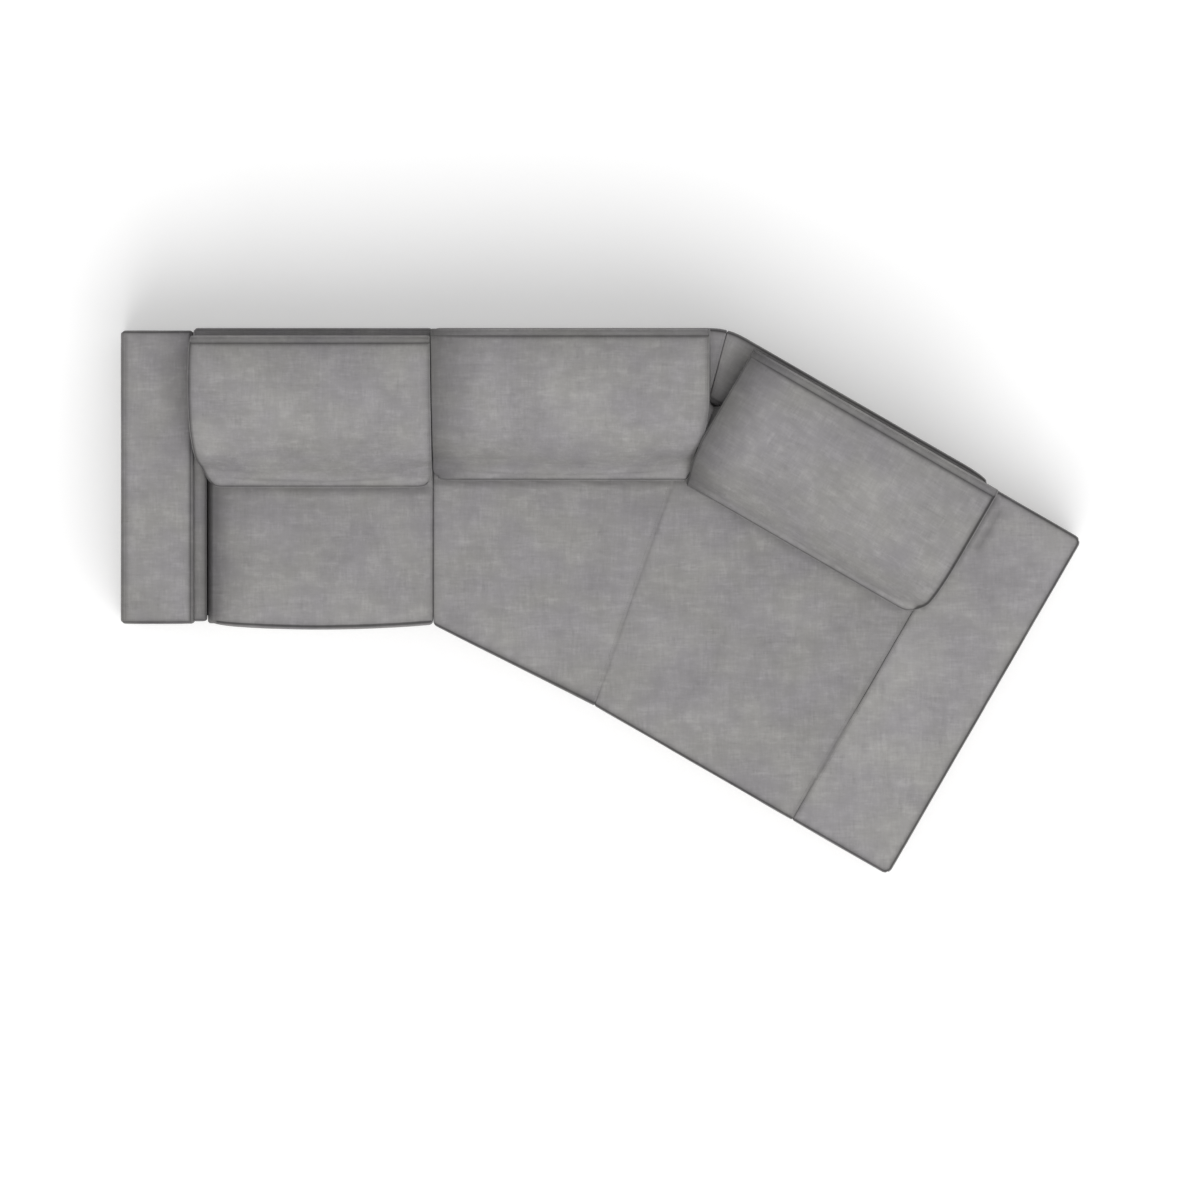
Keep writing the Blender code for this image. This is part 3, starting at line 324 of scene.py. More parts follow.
def boxSkin(counts, openBottom=False):
    # The grid on a box's surface: each vertex as its three row numbers, and the quads.
    index, faces = {}, []

    def quad(*cells):
        faces.append(tuple(index.setdefault(cell, len(index)) for cell in cells))

    right, back, top = (count - 1 for count in counts)
    for i in range(right):
        for j in range(back):
            if not openBottom:
                quad((i, j, 0), (i, j + 1, 0), (i + 1, j + 1, 0), (i + 1, j, 0))
            quad((i, j, top), (i + 1, j, top), (i + 1, j + 1, top), (i, j + 1, top))
    for i in range(right):
        for k in range(top):
            quad((i, 0, k), (i + 1, 0, k), (i + 1, 0, k + 1), (i, 0, k + 1))
            quad((i, back, k), (i, back, k + 1), (i + 1, back, k + 1), (i + 1, back, k))
    for j in range(back):
        for k in range(top):
            quad((0, j, k), (0, j, k + 1), (0, j + 1, k + 1), (0, j + 1, k))
            quad((right, j, k), (right, j + 1, k), (right, j + 1, k + 1), (right, j, k + 1))
    return list(index), faces


def roundOff(points, size, edges):
    # edges gives each side's width of rounding and its drop; "bottom" is the rounding underneath.
    a, b, c = points.T

    def share(distance, width):
        return np.clip((width - distance) / width, 0.0, 1.0)

    left, right, front, rear = (edges[side] for side in ("left", "right", "front", "rear"))
    sides = [(share(distance, edge[0]), edge[1]) for distance, edge in (
        (a, left), (size[0] - a, right), (b, front), (size[1] - b, rear))]
    weight = sum(value ** 2 for value, drop in sides) + tiny
    drop = (sum(value ** 2 * drop for value, drop in sides) + tiny * front[1]) / weight
    low = edges.get("bottom", 0.0)
    lowWidth = np.maximum(low, 1e-6)
    da, db = sides[1][0] - sides[0][0], sides[3][0] - sides[2][0]
    above, under = share(size[2] - c, drop), share(c, lowWidth) * (low > 0.0)
    dc = np.maximum(above, under)
    length = np.sqrt(da ** 2 + db ** 2 + dc ** 2)
    nearSide = np.maximum(abs(da), abs(db))
    bent = (length > tiny) & ((nearSide > 0.0) & (dc > 0.0) | (abs(da) > 0.0) & (abs(db) > 0.0))
    factor = np.where(bent, np.maximum(nearSide, dc) / np.maximum(length, tiny), 1.0)

    def pull(value, way, low, high, full):
        value = np.where(way < 0.0, low * (1.0 + way * factor), value)
        return np.where(way > 0.0, full - high * (1.0 - way * factor), value)

    rising, falling = size[2] - drop * (1.0 - above * factor), lowWidth * (1.0 - under * factor)
    return np.stack([pull(a, da, left[0], right[0], size[0]), pull(b, db, front[0], rear[0], size[1]),
                     np.where(above > 0.0, rising, np.where(under > 0.0, falling, c))], axis=1)


def easeCorner(fromA, fromB, radius):
    # How far the points near an upright edge move inwards, each way, to lie on its arc.
    u, v = (np.clip((radius - value) / radius, 0.0, 1.0) for value in (fromA, fromB))
    factor = np.where((u > 0.0) & (v > 0.0), np.maximum(u, v) / np.maximum(np.hypot(u, v), tiny), 1.0)
    return radius * u * (1.0 - factor), radius * v * (1.0 - factor)


def roundPlan(points, size, corners):
    # Turns the four upright edges round; corners are the radii: front left, front right, rear right, rear left.
    a, b, c = points.T
    for radius, farA, farB in zip(corners, (0.0, 1.0, 1.0, 0.0), (0.0, 0.0, 1.0, 1.0)):
        if radius > 0.0:
            moveA, moveB = easeCorner(abs(a - farA * size[0]), abs(b - farB * size[1]), radius)
            a, b = a + moveA * (1.0 - 2.0 * farA), b + moveB * (1.0 - 2.0 * farB)
    return np.stack([a, b, c], axis=1)


def alongLine(points, share):
    # Places along a polyline whose points carry their own shares.
    shares = [point[0] for point in points]
    return np.stack([np.interp(share, shares, [point[1][axis] for point in points]) for axis in (0, 1)], axis=1)


def makeMesh(name, points, faces, material, seamsAndPaintedShade, wall=0.0):
    mesh = bpy.data.meshes.new(name)
    mesh.from_pydata([tuple(point) for point in points], [], faces)
    mesh.update()
    mesh.shade_smooth()
    mesh.materials.append(material)
    # the float attribute holds the seam lines and the painted shade
    mesh.attributes.new("seamAndPaintedShade", "FLOAT", "POINT").data.foreach_set("value", np.asarray(seamsAndPaintedShade, np.float32))
    item = addObject(name, mesh)
    smoothing = item.modifiers.new("smoothing", "SUBSURF")
    smoothing.levels = smoothing.render_levels = 1
    if wall > 0.0:
        inside = item.modifiers.new("wall", "SOLIDIFY")
        inside.thickness, inside.offset = wall, -1.0
    return item


def meshNormals(points, faces):
    # Vertex normals of a quad mesh, by the area of its faces.
    quads = np.asarray(faces)
    diagonal = np.cross(points[quads[:, 2]] - points[quads[:, 0]], points[quads[:, 3]] - points[quads[:, 1]])
    normals = np.zeros_like(points)
    for corner in range(4):
        np.add.at(normals, quads[:, corner], diagonal)
    return normals / np.maximum(np.linalg.norm(normals, axis=1), 1e-12)[:, None]


def waviness(points, scale, seed):
    shift = Vector((seed * 7.31, seed * 3.77, seed * 1.93))
    return np.array([noise.noise(Vector(point) * scale + shift) for point in points])


def finishPiece(item, body, node):
    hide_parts(node)
    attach(item, body)


def sideDistances(flat, size):
    a, b = flat[:, 0], flat[:, 1]
    return {"left": a, "right": size[0] - a, "front": b, "rear": size[1] - b}


def ringShade(flat, size, ring):
    # Groove, dark line and painted shade of the seams set in from the top's edges; ring holds (inset, strength) pairs a
    # side.
    apartFrom, below = sideDistances(flat, size), size[2] - flat[:, 2]
    shade, groove = np.zeros(len(flat)), np.zeros(len(flat))
    for side, lines in ring.items():
        edge = apartFrom[side]
        clear = below < tiny
        for other in ring:
            if other != side:
                clear &= (apartFrom[other] > ring[other][0][0] - 0.0006) | (apartFrom[other] < tiny)
        for inset, strength in lines:
            apart = np.where(clear, abs(edge - inset), far)
            apart = np.where(edge < tiny, np.minimum(apart, inset + below), apart)
            shade = np.maximum(shade, seamShade(apart) * strength)
            groove = np.maximum(groove, seamGroove(apart) * min(strength, 1.0))
    return shade, groove


def lineShade(points, line):
    # The soft shade along a line in plan, where a cushion presses on the cover.
    result = np.zeros(len(points))
    for first, last in zip(line, line[1:]):
        way = np.array(last) - np.array(first)
        share = np.clip((points[:, :2] - first) @ way / (way @ way), 0.0, 1.0)
        gap = np.linalg.norm(points[:, :2] - first - share[:, None] * way, axis=1)
        result = np.maximum(result, np.interp(gap, *seamAndShadeLook["contact"]))
    return result


# What a block's dictionary may leave out; front and rear are its lines in plan. Padding swells by puff and lies in
# slow waves, seams pucker, still sides stay flat, contacts paint shade along lines in plan, and sideShades paint
# shade on the cloth by the distance from a side.
blockLook = {
    "body": "sofa", "step": 0.020, "ring": {}, "openBottom": False, "wall": 0.0, "corners": (0.0,) * 4,
    "puff": 0.0, "waves": 0.001, "pucker": 0.0, "swellWidth": 0.05, "sideFree": 0.35, "still": (), "swellRight": None,
    "contacts": [], "sideShades": {}, "stitches": {},
}


def blockShape(look):
    (low, high), front, rear = look["heights"], look["front"], look["rear"]
    edges, ring, seed = look["edges"], look["ring"], look["seed"]
    length = sum(math.dist(p[1], q[1]) for p, q in zip(front, front[1:]))
    size = (length, math.dist(front[0][1], rear[0][1]), high - low)
    rows = []
    for axis, (first, last) in enumerate((("left", "right"), ("front", "rear"))):
        marks = [line[0] for line in ring.get(first, [])] + [size[axis] - line[0] for line in ring.get(last, [])]
        rows.append(rowsBetween(size[axis], edges[first][0], edges[last][0], look["step"], marks))
    rows.append(rowsBetween(size[2], edges.get("bottom", 0.012), edges["front"][1], look["step"]))
    cells, faces = boxSkin([len(row) for row in rows], look["openBottom"])
    flat = np.array([[row[number] for row, number in zip(rows, cell)] for cell in cells])
    top = abs(flat[:, 2] - size[2]) < tiny
    seamsAndPaintedShade, groove = ringShade(flat, size, ring)
    local = roundPlan(roundOff(flat, size, edges), size, look["corners"])
    start, end = (alongLine(line, local[:, 0] / size[0]) for line in (front, rear))
    points = np.column_stack([start + (end - start) * local[:, 1:2] / size[1], low + local[:, 2]])
    sides = sideDistances(flat, size)
    gaps = [np.minimum(sides["left"], sides["right"]), np.minimum(sides["front"], sides["rear"]), size[2] - flat[:, 2]]
    distance = np.minimum.reduce([np.where(gap < tiny, far, gap) for gap in gaps])
    swell = 1.0 - np.exp(-np.minimum(distance, 1.0) / look["swellWidth"])
    free = np.where(top, 1.0, look["sideFree"]) * (flat[:, 2] > tiny)
    for side in look["still"]:
        free = free * (sides[side] >= tiny)
    lift = (look["puff"] + look["waves"] * waviness(points, 5.0, seed)) * swell * free
    lift = lift + look["pucker"] * waviness(points, 24.0, seed) * (seamsAndPaintedShade + 0.3) * free
    points = points + meshNormals(points, faces) * (lift - groove)[:, None]
    if look["swellRight"]:
        amount, startHeight, fullHeight = look["swellRight"]
        rise = np.clip((points[:, 2] - startHeight) / (fullHeight - startHeight), 0.0, 1.0)
        points[:, 0] += amount * rise * rise * (3.0 - 2.0 * rise) * flat[:, 0] / size[0]
    for line, strength in look["contacts"]:
        seamsAndPaintedShade = np.maximum(seamsAndPaintedShade, lineShade(points, line) * strength * top)
    for side, shade in look["sideShades"].items():
        seamsAndPaintedShade = np.maximum(seamsAndPaintedShade, np.interp(sides[side], *shade))
    return points, faces, seamsAndPaintedShade, flat


# Stitch lines wanted on each body, as rows of points that lie on the finished surface
stitchLook = {"pitch": 0.0072, "length": 0.0047, "radius": 0.00045, "beside": 0.0088, "sunk": 0.00012,
              "dark": (0.120, 0.116, 0.118), "light": (0.205, 0.198, 0.200)}
stitchLines = {"sofa": [], "pull_out_seat": []}


def stitchRow(item, body, points, mask, across, along, target, low, high):
    # The row of points nearest to the target, laid on the piece's own finished surface
    rows = np.unique(np.round(across[mask], 9))
    row = rows[np.argmin(abs(rows - target))]
    picked = np.flatnonzero(mask & (abs(across - row) < 1e-6) & (along > low) & (along < high))
    surface = BVHTree.FromObject(item, bpy.context.evaluated_depsgraph_get())
    line = []
    for index in picked[np.argsort(along[picked])]:
        near, normal = surface.find_nearest(Vector(points[index]))[:2]
        line.append(tuple(near + normal * stitchLook["sunk"]))
    if len(line) > 2:
        stitchLines[body].append(line)


def stitchBlock(item, look, points, flat):
    # Beside each named side's top seam, from one corner seam to the other
    size, ends = flat.max(axis=0), stitchLook["beside"]
    top = abs(flat[:, 2] - size[2]) < tiny
    for side, inset in look["stitches"].items():
        axis = 0 if side in ("left", "right") else 1
        target = inset if side in ("left", "front") else size[axis] - inset
        stitchRow(item, look["body"], points, top, flat[:, axis], flat[:, 1 - axis], target, ends,
                  size[1 - axis] - ends)


def upholster(name, node, look, fabric):
    points, faces, seamsAndPaintedShade, flat = blockShape(look)
    item = makeMesh(name, points, faces, fabrics[fabric], seamsAndPaintedShade, look["wall"])
    stitchBlock(item, look, points, flat)
    finishPiece(item, look["body"], node)


def straight(first, second):
    return [(0.0, first), (1.0, second)]


def boxLines(node, reachLeft=0.0, reachFront=0.0):
    # The lines and heights of a node's own box, its left and front faces moved out
    (x0, y0, z0), (x1, y1, z1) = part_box(node)
    x0, y0 = x0 - reachLeft, y0 - reachFront
    return {"front": straight((x0, y0), (x1, y0)), "rear": straight((x0, y1), (x1, y1)), "heights": (z0, z1)}


# Arm: a padded box with a seam round its top, and a thick pad on its inner side
armLook = dict(
    blockLook, **boxLines("arm_cover"), openBottom=True, wall=0.020, seed=3, fill=0.9,
    edges={"left": (0.016, 0.013), "right": (0.013, 0.022), "front": (0.010, 0.011), "rear": (0.010, 0.011)},
    # painted shade along the inner edge, between its two seam lines
    corners=(0.012, 0.008, 0.010, 0.012), sideShades={"right": ((0.0, 0.010, 0.016), (0.52, 0.46, 0.0))},
    ring={"left": [(0.0035, 0.65), (0.0150, 0.45)], "right": [(0.0095, 0.9), (0.0040, 0.45)],
          "front": [(0.004, 1.0)], "rear": [(0.004, 1.0)]},
    stitches={"left": 0.0240, "right": 0.0185, "front": 0.0130, "rear": 0.0130},
    puff=0.0015, waves=0.0022, pucker=0.0012, sideFree=0.8,
)
upholster("armCover", "arm_cover", armLook, "level")
armPadLook = dict(
    blockLook, **boxLines("arm_inner_pad", reachFront=0.006), step=0.014, seed=5, fill=0.8,
    edges={"left": (0.003, 0.004), "right": (0.016, 0.022), "front": (0.010, 0.012), "rear": (0.004, 0.004),
           "bottom": 0.004},
    corners=(0.003, 0.004, 0.0, 0.0), swellRight=(0.0012, 0.215, 0.300), still=("left",),
    # painted shade over the whole pad, deeper towards both its sides
    sideShades={"right": ((0.0, 0.006, 0.020), (0.80, 0.62, 0.30)), "left": ((0.0, 0.010), (0.42, 0.30))},
    ring={"left": [(0.002, 0.1)], "right": [(0.006, 0.2)], "front": [(0.005, 0.9)]},
    stitches={"right": 0.0150, "front": 0.0140}, waves=0.0012, pucker=0.0010, sideFree=0.3,
)
upholster("armInnerPad", "arm_inner_pad", armPadLook, "level")
print("arm: cover and inner pad")

# Backs: low padded boxes behind the cushions, the two of the corner unit meeting in a mitre
backRing = {"left": [(0.004, 0.7)], "right": [(0.004, 0.7)], "front": [(0.020, 0.6)], "rear": [(0.0055, 1.2)]}
mitreEdge, mitreRing = (0.003, 0.005), [(0.002, 0.2)]
backLook = dict(
    blockLook, **boxLines("left_back_cover"), openBottom=True, wall=0.018, fill=0.9, waves=0.0016, pucker=0.0010,
    edges={"left": (0.012, 0.016), "right": (0.012, 0.016), "front": (0.026, 0.026), "rear": (0.016, 0.018)},
    ring=backRing, stitches={"rear": 0.0145},
)
leftBackLook = dict(
    backLook, wall=0.020, corners=(0.0, 0.0, 0.012, 0.012), ring=dict(backRing, rear=[(0.0055, 0.8)]), seed=7,
)
upholster("leftBackCover", "left_back_cover", leftBackLook, "level")
cornerEase, backEnd = 0.068, seam2 - touch - plan["unitGap"] + 0.0025
innerAlong = backDepth * math.tan(wingTurn / 2.0)
backJoint = plan["jointAlong"] + plan["unitGap"]


def easedCorner(share):
    # The back line round the corner, from one long face to the other.
    first, middle, last = middlePoint(-cornerEase, 0.0), middlePoint(0.0, 0.0), wingPoint(cornerEase, 0.0)
    near, mid, beyond = (1.0 - share) ** 2, 2.0 * share * (1.0 - share), share ** 2
    return tuple(near * first[axis] + mid * middle[axis] + beyond * last[axis] for axis in (0, 1))


middleEased, wingEased = cornerEase / -backJoint, cornerEase / backEnd
middleBackLook = dict(
    backLook, front=straight(middlePoint(backJoint, backDepth), middlePoint(-innerAlong - touch, backDepth)),
    rear=[(0.0, middlePoint(backJoint, 0.0)), (1.0 - middleEased, middlePoint(-cornerEase, 0.0))]
    + [(1.0 - middleEased * (1.0 - step / 5.0), easedCorner(step / 10.0)) for step in range(1, 6)],
    edges=dict(backLook["edges"], right=mitreEdge), corners=(0.0, 0.0, 0.0, 0.012),
    ring=dict(backRing, right=mitreRing), seed=9, stitches={"rear": 0.0145, "right": 0.0100},
)
upholster("middleBackCover", "middle_back_cover", middleBackLook, "level")
backEase = ((0.090, 0.0), (0.050, 0.0015), (0.022, 0.0055), (0.0, 0.0110))
rightBackLook = dict(
    backLook, front=straight(wingPoint(innerAlong + touch, backDepth), wingPoint(backEnd, backDepth)),
    rear=[(wingEased * step / 5.0, easedCorner(0.5 + step / 10.0)) for step in range(6)]
    + [(1.0 - before / backEnd, wingPoint(backEnd - before, inward)) for before, inward in backEase],
    edges=dict(backLook["edges"], left=mitreEdge), corners=(0.0, 0.010, 0.010, 0.0),
    ring=dict(backRing, left=mitreRing), seed=11, stitches={"rear": 0.0145, "left": 0.0100},
)
upholster("rightBackCover", "right_back_cover", rightBackLook, "wing")
print("backs: three covers")

# Painted shade along the lines where the back cushions' feet press on the seats and the platform, and along a fold
# beside them
cushionFront = {"left": 0.563, "middle": 0.539, "right": 0.555}
leftContact = [middlePoint(-1.80, cushionFront["left"]), middlePoint(-1.033, cushionFront["left"])]
seatContacts = [
    ([middlePoint(-1.027, cushionFront["middle"]), middlePoint(-0.145, cushionFront["middle"])], 0.50),
    ([wingPoint(0.140, cushionFront["right"]), wingPoint(1.010, cushionFront["right"])], 0.25),
]
platformContacts = [
    ([wingPoint(1.078, 0.500), wingPoint(1.090, 0.440), wingPoint(1.107, 0.050)], 0.70),
    ([wingPoint(1.1435, 0.085), wingPoint(1.1465, 0.150), wingPoint(1.1440, 0.225)], 0.38),
]

# Seats of the corner unit: foam under one sewn cover, with a seam between each two
seatLow, seatHigh = boxLines("middle_seat_pad")["heights"]
seatRear, seatMeet = backDepth + touch, 0.0027
seamFront = wingPoint(plan["seam1Start"], wingDepth)
seamSlope = (seamFront[0] - plan["cornerX"]) / (plan["cornerY"] - seamFront[1])
seamRear = middlePoint(seamSlope * seatRear, seatRear)
padEdge, sewnEdge, faintEdge, hiddenEdge = (0.011, 0.011), (0.0040, 0.007), (0.0026, 0.0040), (0.006, 0.006)
padRing, sewnRing, faintRing = [(0.004, 1.2)], [(0.002, 0.42)], [(0.001, 0.22)]
seatLook = dict(
    blockLook, heights=(seatLow, seatHigh), step=0.014, fill=0.85, puff=0.002, waves=0.0034, pucker=0.0010,
    sideFree=0.5, contacts=seatContacts,
)
middleSeatLook = dict(
    seatLook, front=straight(middlePoint(backJoint - seatMeet, unitDepth), seamFront),
    rear=straight(middlePoint(backJoint - seatMeet, seatRear), seamRear),
    # painted shade beside the gap to the left seat
    sideShades={"left": ((0.0, 0.004, 0.010, 0.020, 0.034), (0.24, 0.19, 0.13, 0.06, 0.0))},
    edges={"left": (0.011, 0.006), "right": faintEdge, "front": padEdge, "rear": hiddenEdge, "bottom": 0.004},
    corners=(0.006, 0.0, 0.0, 0.0), seed=13, still=("left",),
    ring={"left": [(0.002, 0.05)], "right": faintRing, "front": padRing}, stitches={"front": 0.0130, "right": 0.0100},
)
upholster("middleSeatPad", "middle_seat_pad", middleSeatLook, "seat")
innerCorner, seamEnd = wingPoint(innerAlong, seatRear), wingPoint(seam2, seatRear)
rearFirst, rearSecond = math.dist(seamRear, innerCorner), math.dist(innerCorner, seamEnd)
rightSeatLook = dict(
    seatLook, front=straight(seamFront, wingPoint(seam2, wingDepth)), seed=15,
    rear=[(0.0, seamRear), (rearFirst / (rearFirst + rearSecond), innerCorner), (1.0, seamEnd)],
    edges={"left": faintEdge, "right": sewnEdge, "front": padEdge, "rear": hiddenEdge, "bottom": 0.004},
    ring={"left": faintRing, "right": sewnRing, "front": padRing}, stitches={"front": 0.0130, "right": 0.0110},
)
upholster("rightSeatPad", "right_seat_pad", rightSeatLook, "seat")
platformLook = dict(
    seatLook, front=straight(wingPoint(seam2 + touch, wingDepth), wingPoint(wingLength, wingDepth)),
    rear=straight(wingPoint(seam2 + touch, platformRear), wingPoint(wingLength, platformRear)), step=0.012,
    edges={"left": sewnEdge, "right": padEdge, "front": padEdge, "rear": padEdge, "bottom": 0.004},
    corners=(0.0, 0.026, 0.026, 0.0), seed=17, contacts=platformContacts,
    ring={"left": sewnRing, "right": padRing, "front": padRing, "rear": padRing},
    stitches={"left": 0.0110, "right": 0.0130, "front": 0.0130, "rear": 0.0130},
)
upholster("platformPad", "platform_pad", platformLook, "platform")
print("corner unit: three pads")

# Base panels under the seats; of the fronts, the edges that meet a neighbour are nearly square
openEdge, coveredEdge = (0.008, 0.008), (0.002, 0.003)
panelLook = dict(
    blockLook, heights=boxLines("middle_front_panel")["heights"], fill=0.9, puff=0.0012, waves=0.0012, sideFree=1.0,
    edges={"left": coveredEdge, "right": coveredEdge, "front": openEdge, "rear": coveredEdge, "bottom": 0.006},
    ring={"front": [(0.004, 0.8)]},
)
endInset, endThick = 0.005, 0.040


def planCorners(node, ahead, side):
    # A board's four corners in plan, picked by how far they lie each way: front left first, anticlockwise
    spots = sorted({(round(vertex.co.x, 5), round(vertex.co.y, 5)) for vertex in nodes[node].data.vertices})
    return [max(spots, key=lambda spot: forward * np.dot(spot, ahead) + across * np.dot(spot, side))
            for across, forward in ((-1, 1), (1, 1), (1, -1), (-1, -1))]


leftLines = boxLines("left_front_panel", reachLeft=0.0065)
leftPanelLook = dict(
    panelLook, front=leftLines["front"], rear=leftLines["rear"], corners=(0.006, 0.006, 0.0, 0.0), seed=21,
    edges=dict(panelLook["edges"], left=openEdge, right=openEdge), body="pull_out_seat",
)
upholster("leftFrontPanel", "left_front_panel", leftPanelLook, "level")
slope = (Vector(seamFront) - Vector(middlePoint(backJoint, unitDepth))).normalized()
wingAhead, wingSide = np.array((-wingSin, -wingCos)), np.array((wingCos, -wingSin))
for name, node, ahead, side, fabric, seed in (
    ("middleFrontPanel", "middle_front_panel", (slope.y, -slope.x), tuple(slope), "level", 23),
    ("rightFrontPanel", "right_front_panel", wingAhead, wingSide, "seat", 25),
    ("platformBackPanel", "platform_back_panel", -wingAhead, -wingSide, "seat", 27),
):
    frontLeft, frontRight, rearRight, rearLeft = planCorners(node, ahead, side)
    frontLine, rearLine = straight(frontLeft, frontRight), straight(rearLeft, rearRight)
    upholster(name, node, dict(panelLook, front=frontLine, rear=rearLine, seed=seed), fabric)
endLeft, endRight = wingLength - endInset - endThick, wingLength - endInset
endFront, endRear = wingDepth - endInset, platformRear + endInset
endPanelLook = dict(
    panelLook, front=straight(wingPoint(endLeft, endFront), wingPoint(endRight, endFront)),
    rear=straight(wingPoint(endLeft, endRear), wingPoint(endRight, endRear)),
    edges=dict(panelLook["edges"], right=openEdge, rear=openEdge), corners=(0.0, 0.026, 0.026, 0.0), seed=29,
)
upholster("endPanel", "end_panel", endPanelLook, "seat")
print("base: five panels")

# Filled pieces: a fibre fill presses the sewn shell outwards, as cloth under pressure
fillLook = {
    "voxel": 0.0085, "pressure": 4.0, "frames": 20, "stiffness": 14.0, "shear": 0.6, "bending": 1.2, "startIn": 0.006,
    "most": 0.026, "mass": 0.35, "quality": 4, "airDamping": 3.0,
}


def startFill(name, points, faces, held):
    # The shell, slightly smaller, as an even mesh of cloth; held names the points sewn or rested down.
    inwards = meshNormals(points, faces) * fillLook["startIn"]
    start, begin = points - inwards, points - inwards * (1.0 - held)[:, None]
    mesh = bpy.data.meshes.new(name + "Start")
    mesh.from_pydata([tuple(point) for point in start], [], faces)
    shell = addObject(name + "Shell", mesh)
    remesh = shell.modifiers.new("even", "REMESH")
    remesh.mode, remesh.voxel_size = "VOXEL", fillLook["voxel"]
    even = bpy.data.meshes.new_from_object(shell.evaluated_get(bpy.context.evaluated_depsgraph_get()))
    shell.modifiers.remove(remesh)
    shell.data = even
    bpy.data.meshes.remove(mesh)
    tree = KDTree(len(start))
    for index, point in enumerate(start):
        tree.insert(point, index)
    tree.balance()
    group = shell.vertex_groups.new(name="held")
    for vertex in even.vertices:
        nearest = tree.find(vertex.co)[1]
        if held[nearest] > 0.0:
            group.add([vertex.index], float(held[nearest]), "REPLACE")
    cloth = shell.modifiers.new("fill", "CLOTH")
    settings = cloth.settings
    settings.quality, settings.mass = fillLook["quality"], fillLook["mass"]
    settings.tension_stiffness = settings.compression_stiffness = fillLook["stiffness"]
    settings.shear_stiffness = fillLook["stiffness"] * fillLook["shear"]
    settings.bending_stiffness, settings.air_damping = fillLook["bending"], fillLook["airDamping"]
    settings.use_pressure, settings.uniform_pressure_force = True, fillLook["pressure"]
    settings.effector_weights.gravity = 0.0
    settings.vertex_group_mass = "held"
    cloth.collision_settings.use_collision = False
    cloth.point_cache.frame_start, cloth.point_cache.frame_end = 1, fillLook["frames"]
    return shell, start, begin


def endFill(shell, start, begin):
    # Each point of the sewn shell follows the cloth point nearest to it, no further than the limit.
    before = np.array([tuple(vertex.co) for vertex in shell.data.vertices])
    result = bpy.data.meshes.new_from_object(shell.evaluated_get(bpy.context.evaluated_depsgraph_get()))
    moved = np.array([tuple(vertex.co) for vertex in result.vertices]) - before
    length, most = np.linalg.norm(moved, axis=1)[:, None], fillLook["most"]
    moved *= np.where(length > tiny, most * np.tanh(length / most) / np.maximum(length, tiny), 1.0)
    polygons = [tuple(polygon.vertices) for polygon in shell.data.polygons]
    tree = BVHTree.FromPolygons([tuple(point) for point in before], polygons)
    filled = begin.copy()
    for index, point in enumerate(start):
        near, normal, face = tree.find_nearest(point)[:3]
        weights = poly_3d_calc([Vector(before[corner]) for corner in polygons[face]], near)
        filled[index] += sum(weight * moved[corner] for weight, corner in zip(weights, polygons[face]))
    shell.modifiers.clear()
    bpy.data.objects.remove(shell)
    bpy.data.meshes.remove(result)
    return filled


def fillAll(shapes):
    # Every shell is filled in the same run of frames.
    started = {name: startFill(name, *shape) for name, shape in shapes.items()}
    scene = bpy.context.scene
    scene.frame_end = fillLook["frames"]
    for number in range(1, fillLook["frames"] + 1):
        scene.frame_set(number)
    filled = {name: endFill(*pair) for name, pair in started.items()}
    scene.frame_set(1)
    return filled


# Back cushions: a face and a back panel sewn to a boxing band
cushionLook = {
    "depth": 0.530, "recline": 0.205, "top": 0.850, "over": 0.7003, "inner": 0.2623, "bottom": 0.4403,
    # footShade, rearShade and the cushions' edgeShades scale the dark lines and the painted shade at the foot, along
    # the rear edge and at the ends
    "footLine": 0.005, "footShade": 0.85, "rearShade": 0.25, "edgeLine": 0.004, "crown": 0.022,
    "panels": (0.10, 0.92), "step": 0.016, "runEdges": (0.006, 0.012), "fill": 0.85, "joint": 0.0008,
    "holeLeft": ((0.2660, 0.2844, 0.3443, 0.4300), (0.0, 0.0330, 0.0180, 0.0)),
    "holeRight": ((0.2600, 0.2630, 0.3310, 0.4200), (0.0, 0.0390, 0.0180, 0.0)),
    "sunk": ((0.560, 0.620, 0.745, 0.795), (0.0, 1.0, 1.0, 0.0)), "crownRows": (2, 3, 4),
    "heldRear": 0.95, "heldSeam": 0.92, "heldFoot": 0.03, "stitchClear": (0.010, 0.030),
}
# What differs from cushion to cushion, pairs being its left and its right end; endShades paint shade towards the ends.
# A hollow shade is painted shade where the face draws in: its middle and half width across the face, its distance
# behind the front, its spread and its strength.
cushionLooks = {
    "leftBackCushion": {
        "setback": 0.027, "band": 0.0245, "corners": (0.038, 0.046), "edgeShades": (1.0, 0.5),
        "rounds": (0.013, 0.009), "endShades": ((0.25, 0.05), (0.15, 0.03)), "lip": 1.0, "bulges": (0.0, 0.0),
        "hollowShade": (0.62, 0.24, 0.135, 0.050, 0.17),
    },
    "middleBackCushion": {
        "setback": 0.003, "band": 0.0230, "corners": (0.045, 0.003), "edgeShades": (0.25, 0.5),
        "rounds": (0.009, 0.008), "endShades": ((0.70, 0.200), (0.25, 0.04)), "lip": 1.0, "bulges": (0.0, 0.75),
        "hollowShade": (0.45, 0.50, 0.100, 0.038, 0.11),
    },
    "rightBackCushion": {
        "setback": 0.019, "band": 0.0270, "corners": (0.005, 0.075), "edgeShades": (1.1, 1.5),
        "rounds": (0.008, 0.013), "endShades": ((0.78, 0.200), (0.0, 0.03)), "lip": 0.15, "bulges": (0.75, 0.0),
        "hollowShade": (0.30, 0.16, 0.130, 0.055, 0.18),
    },
}


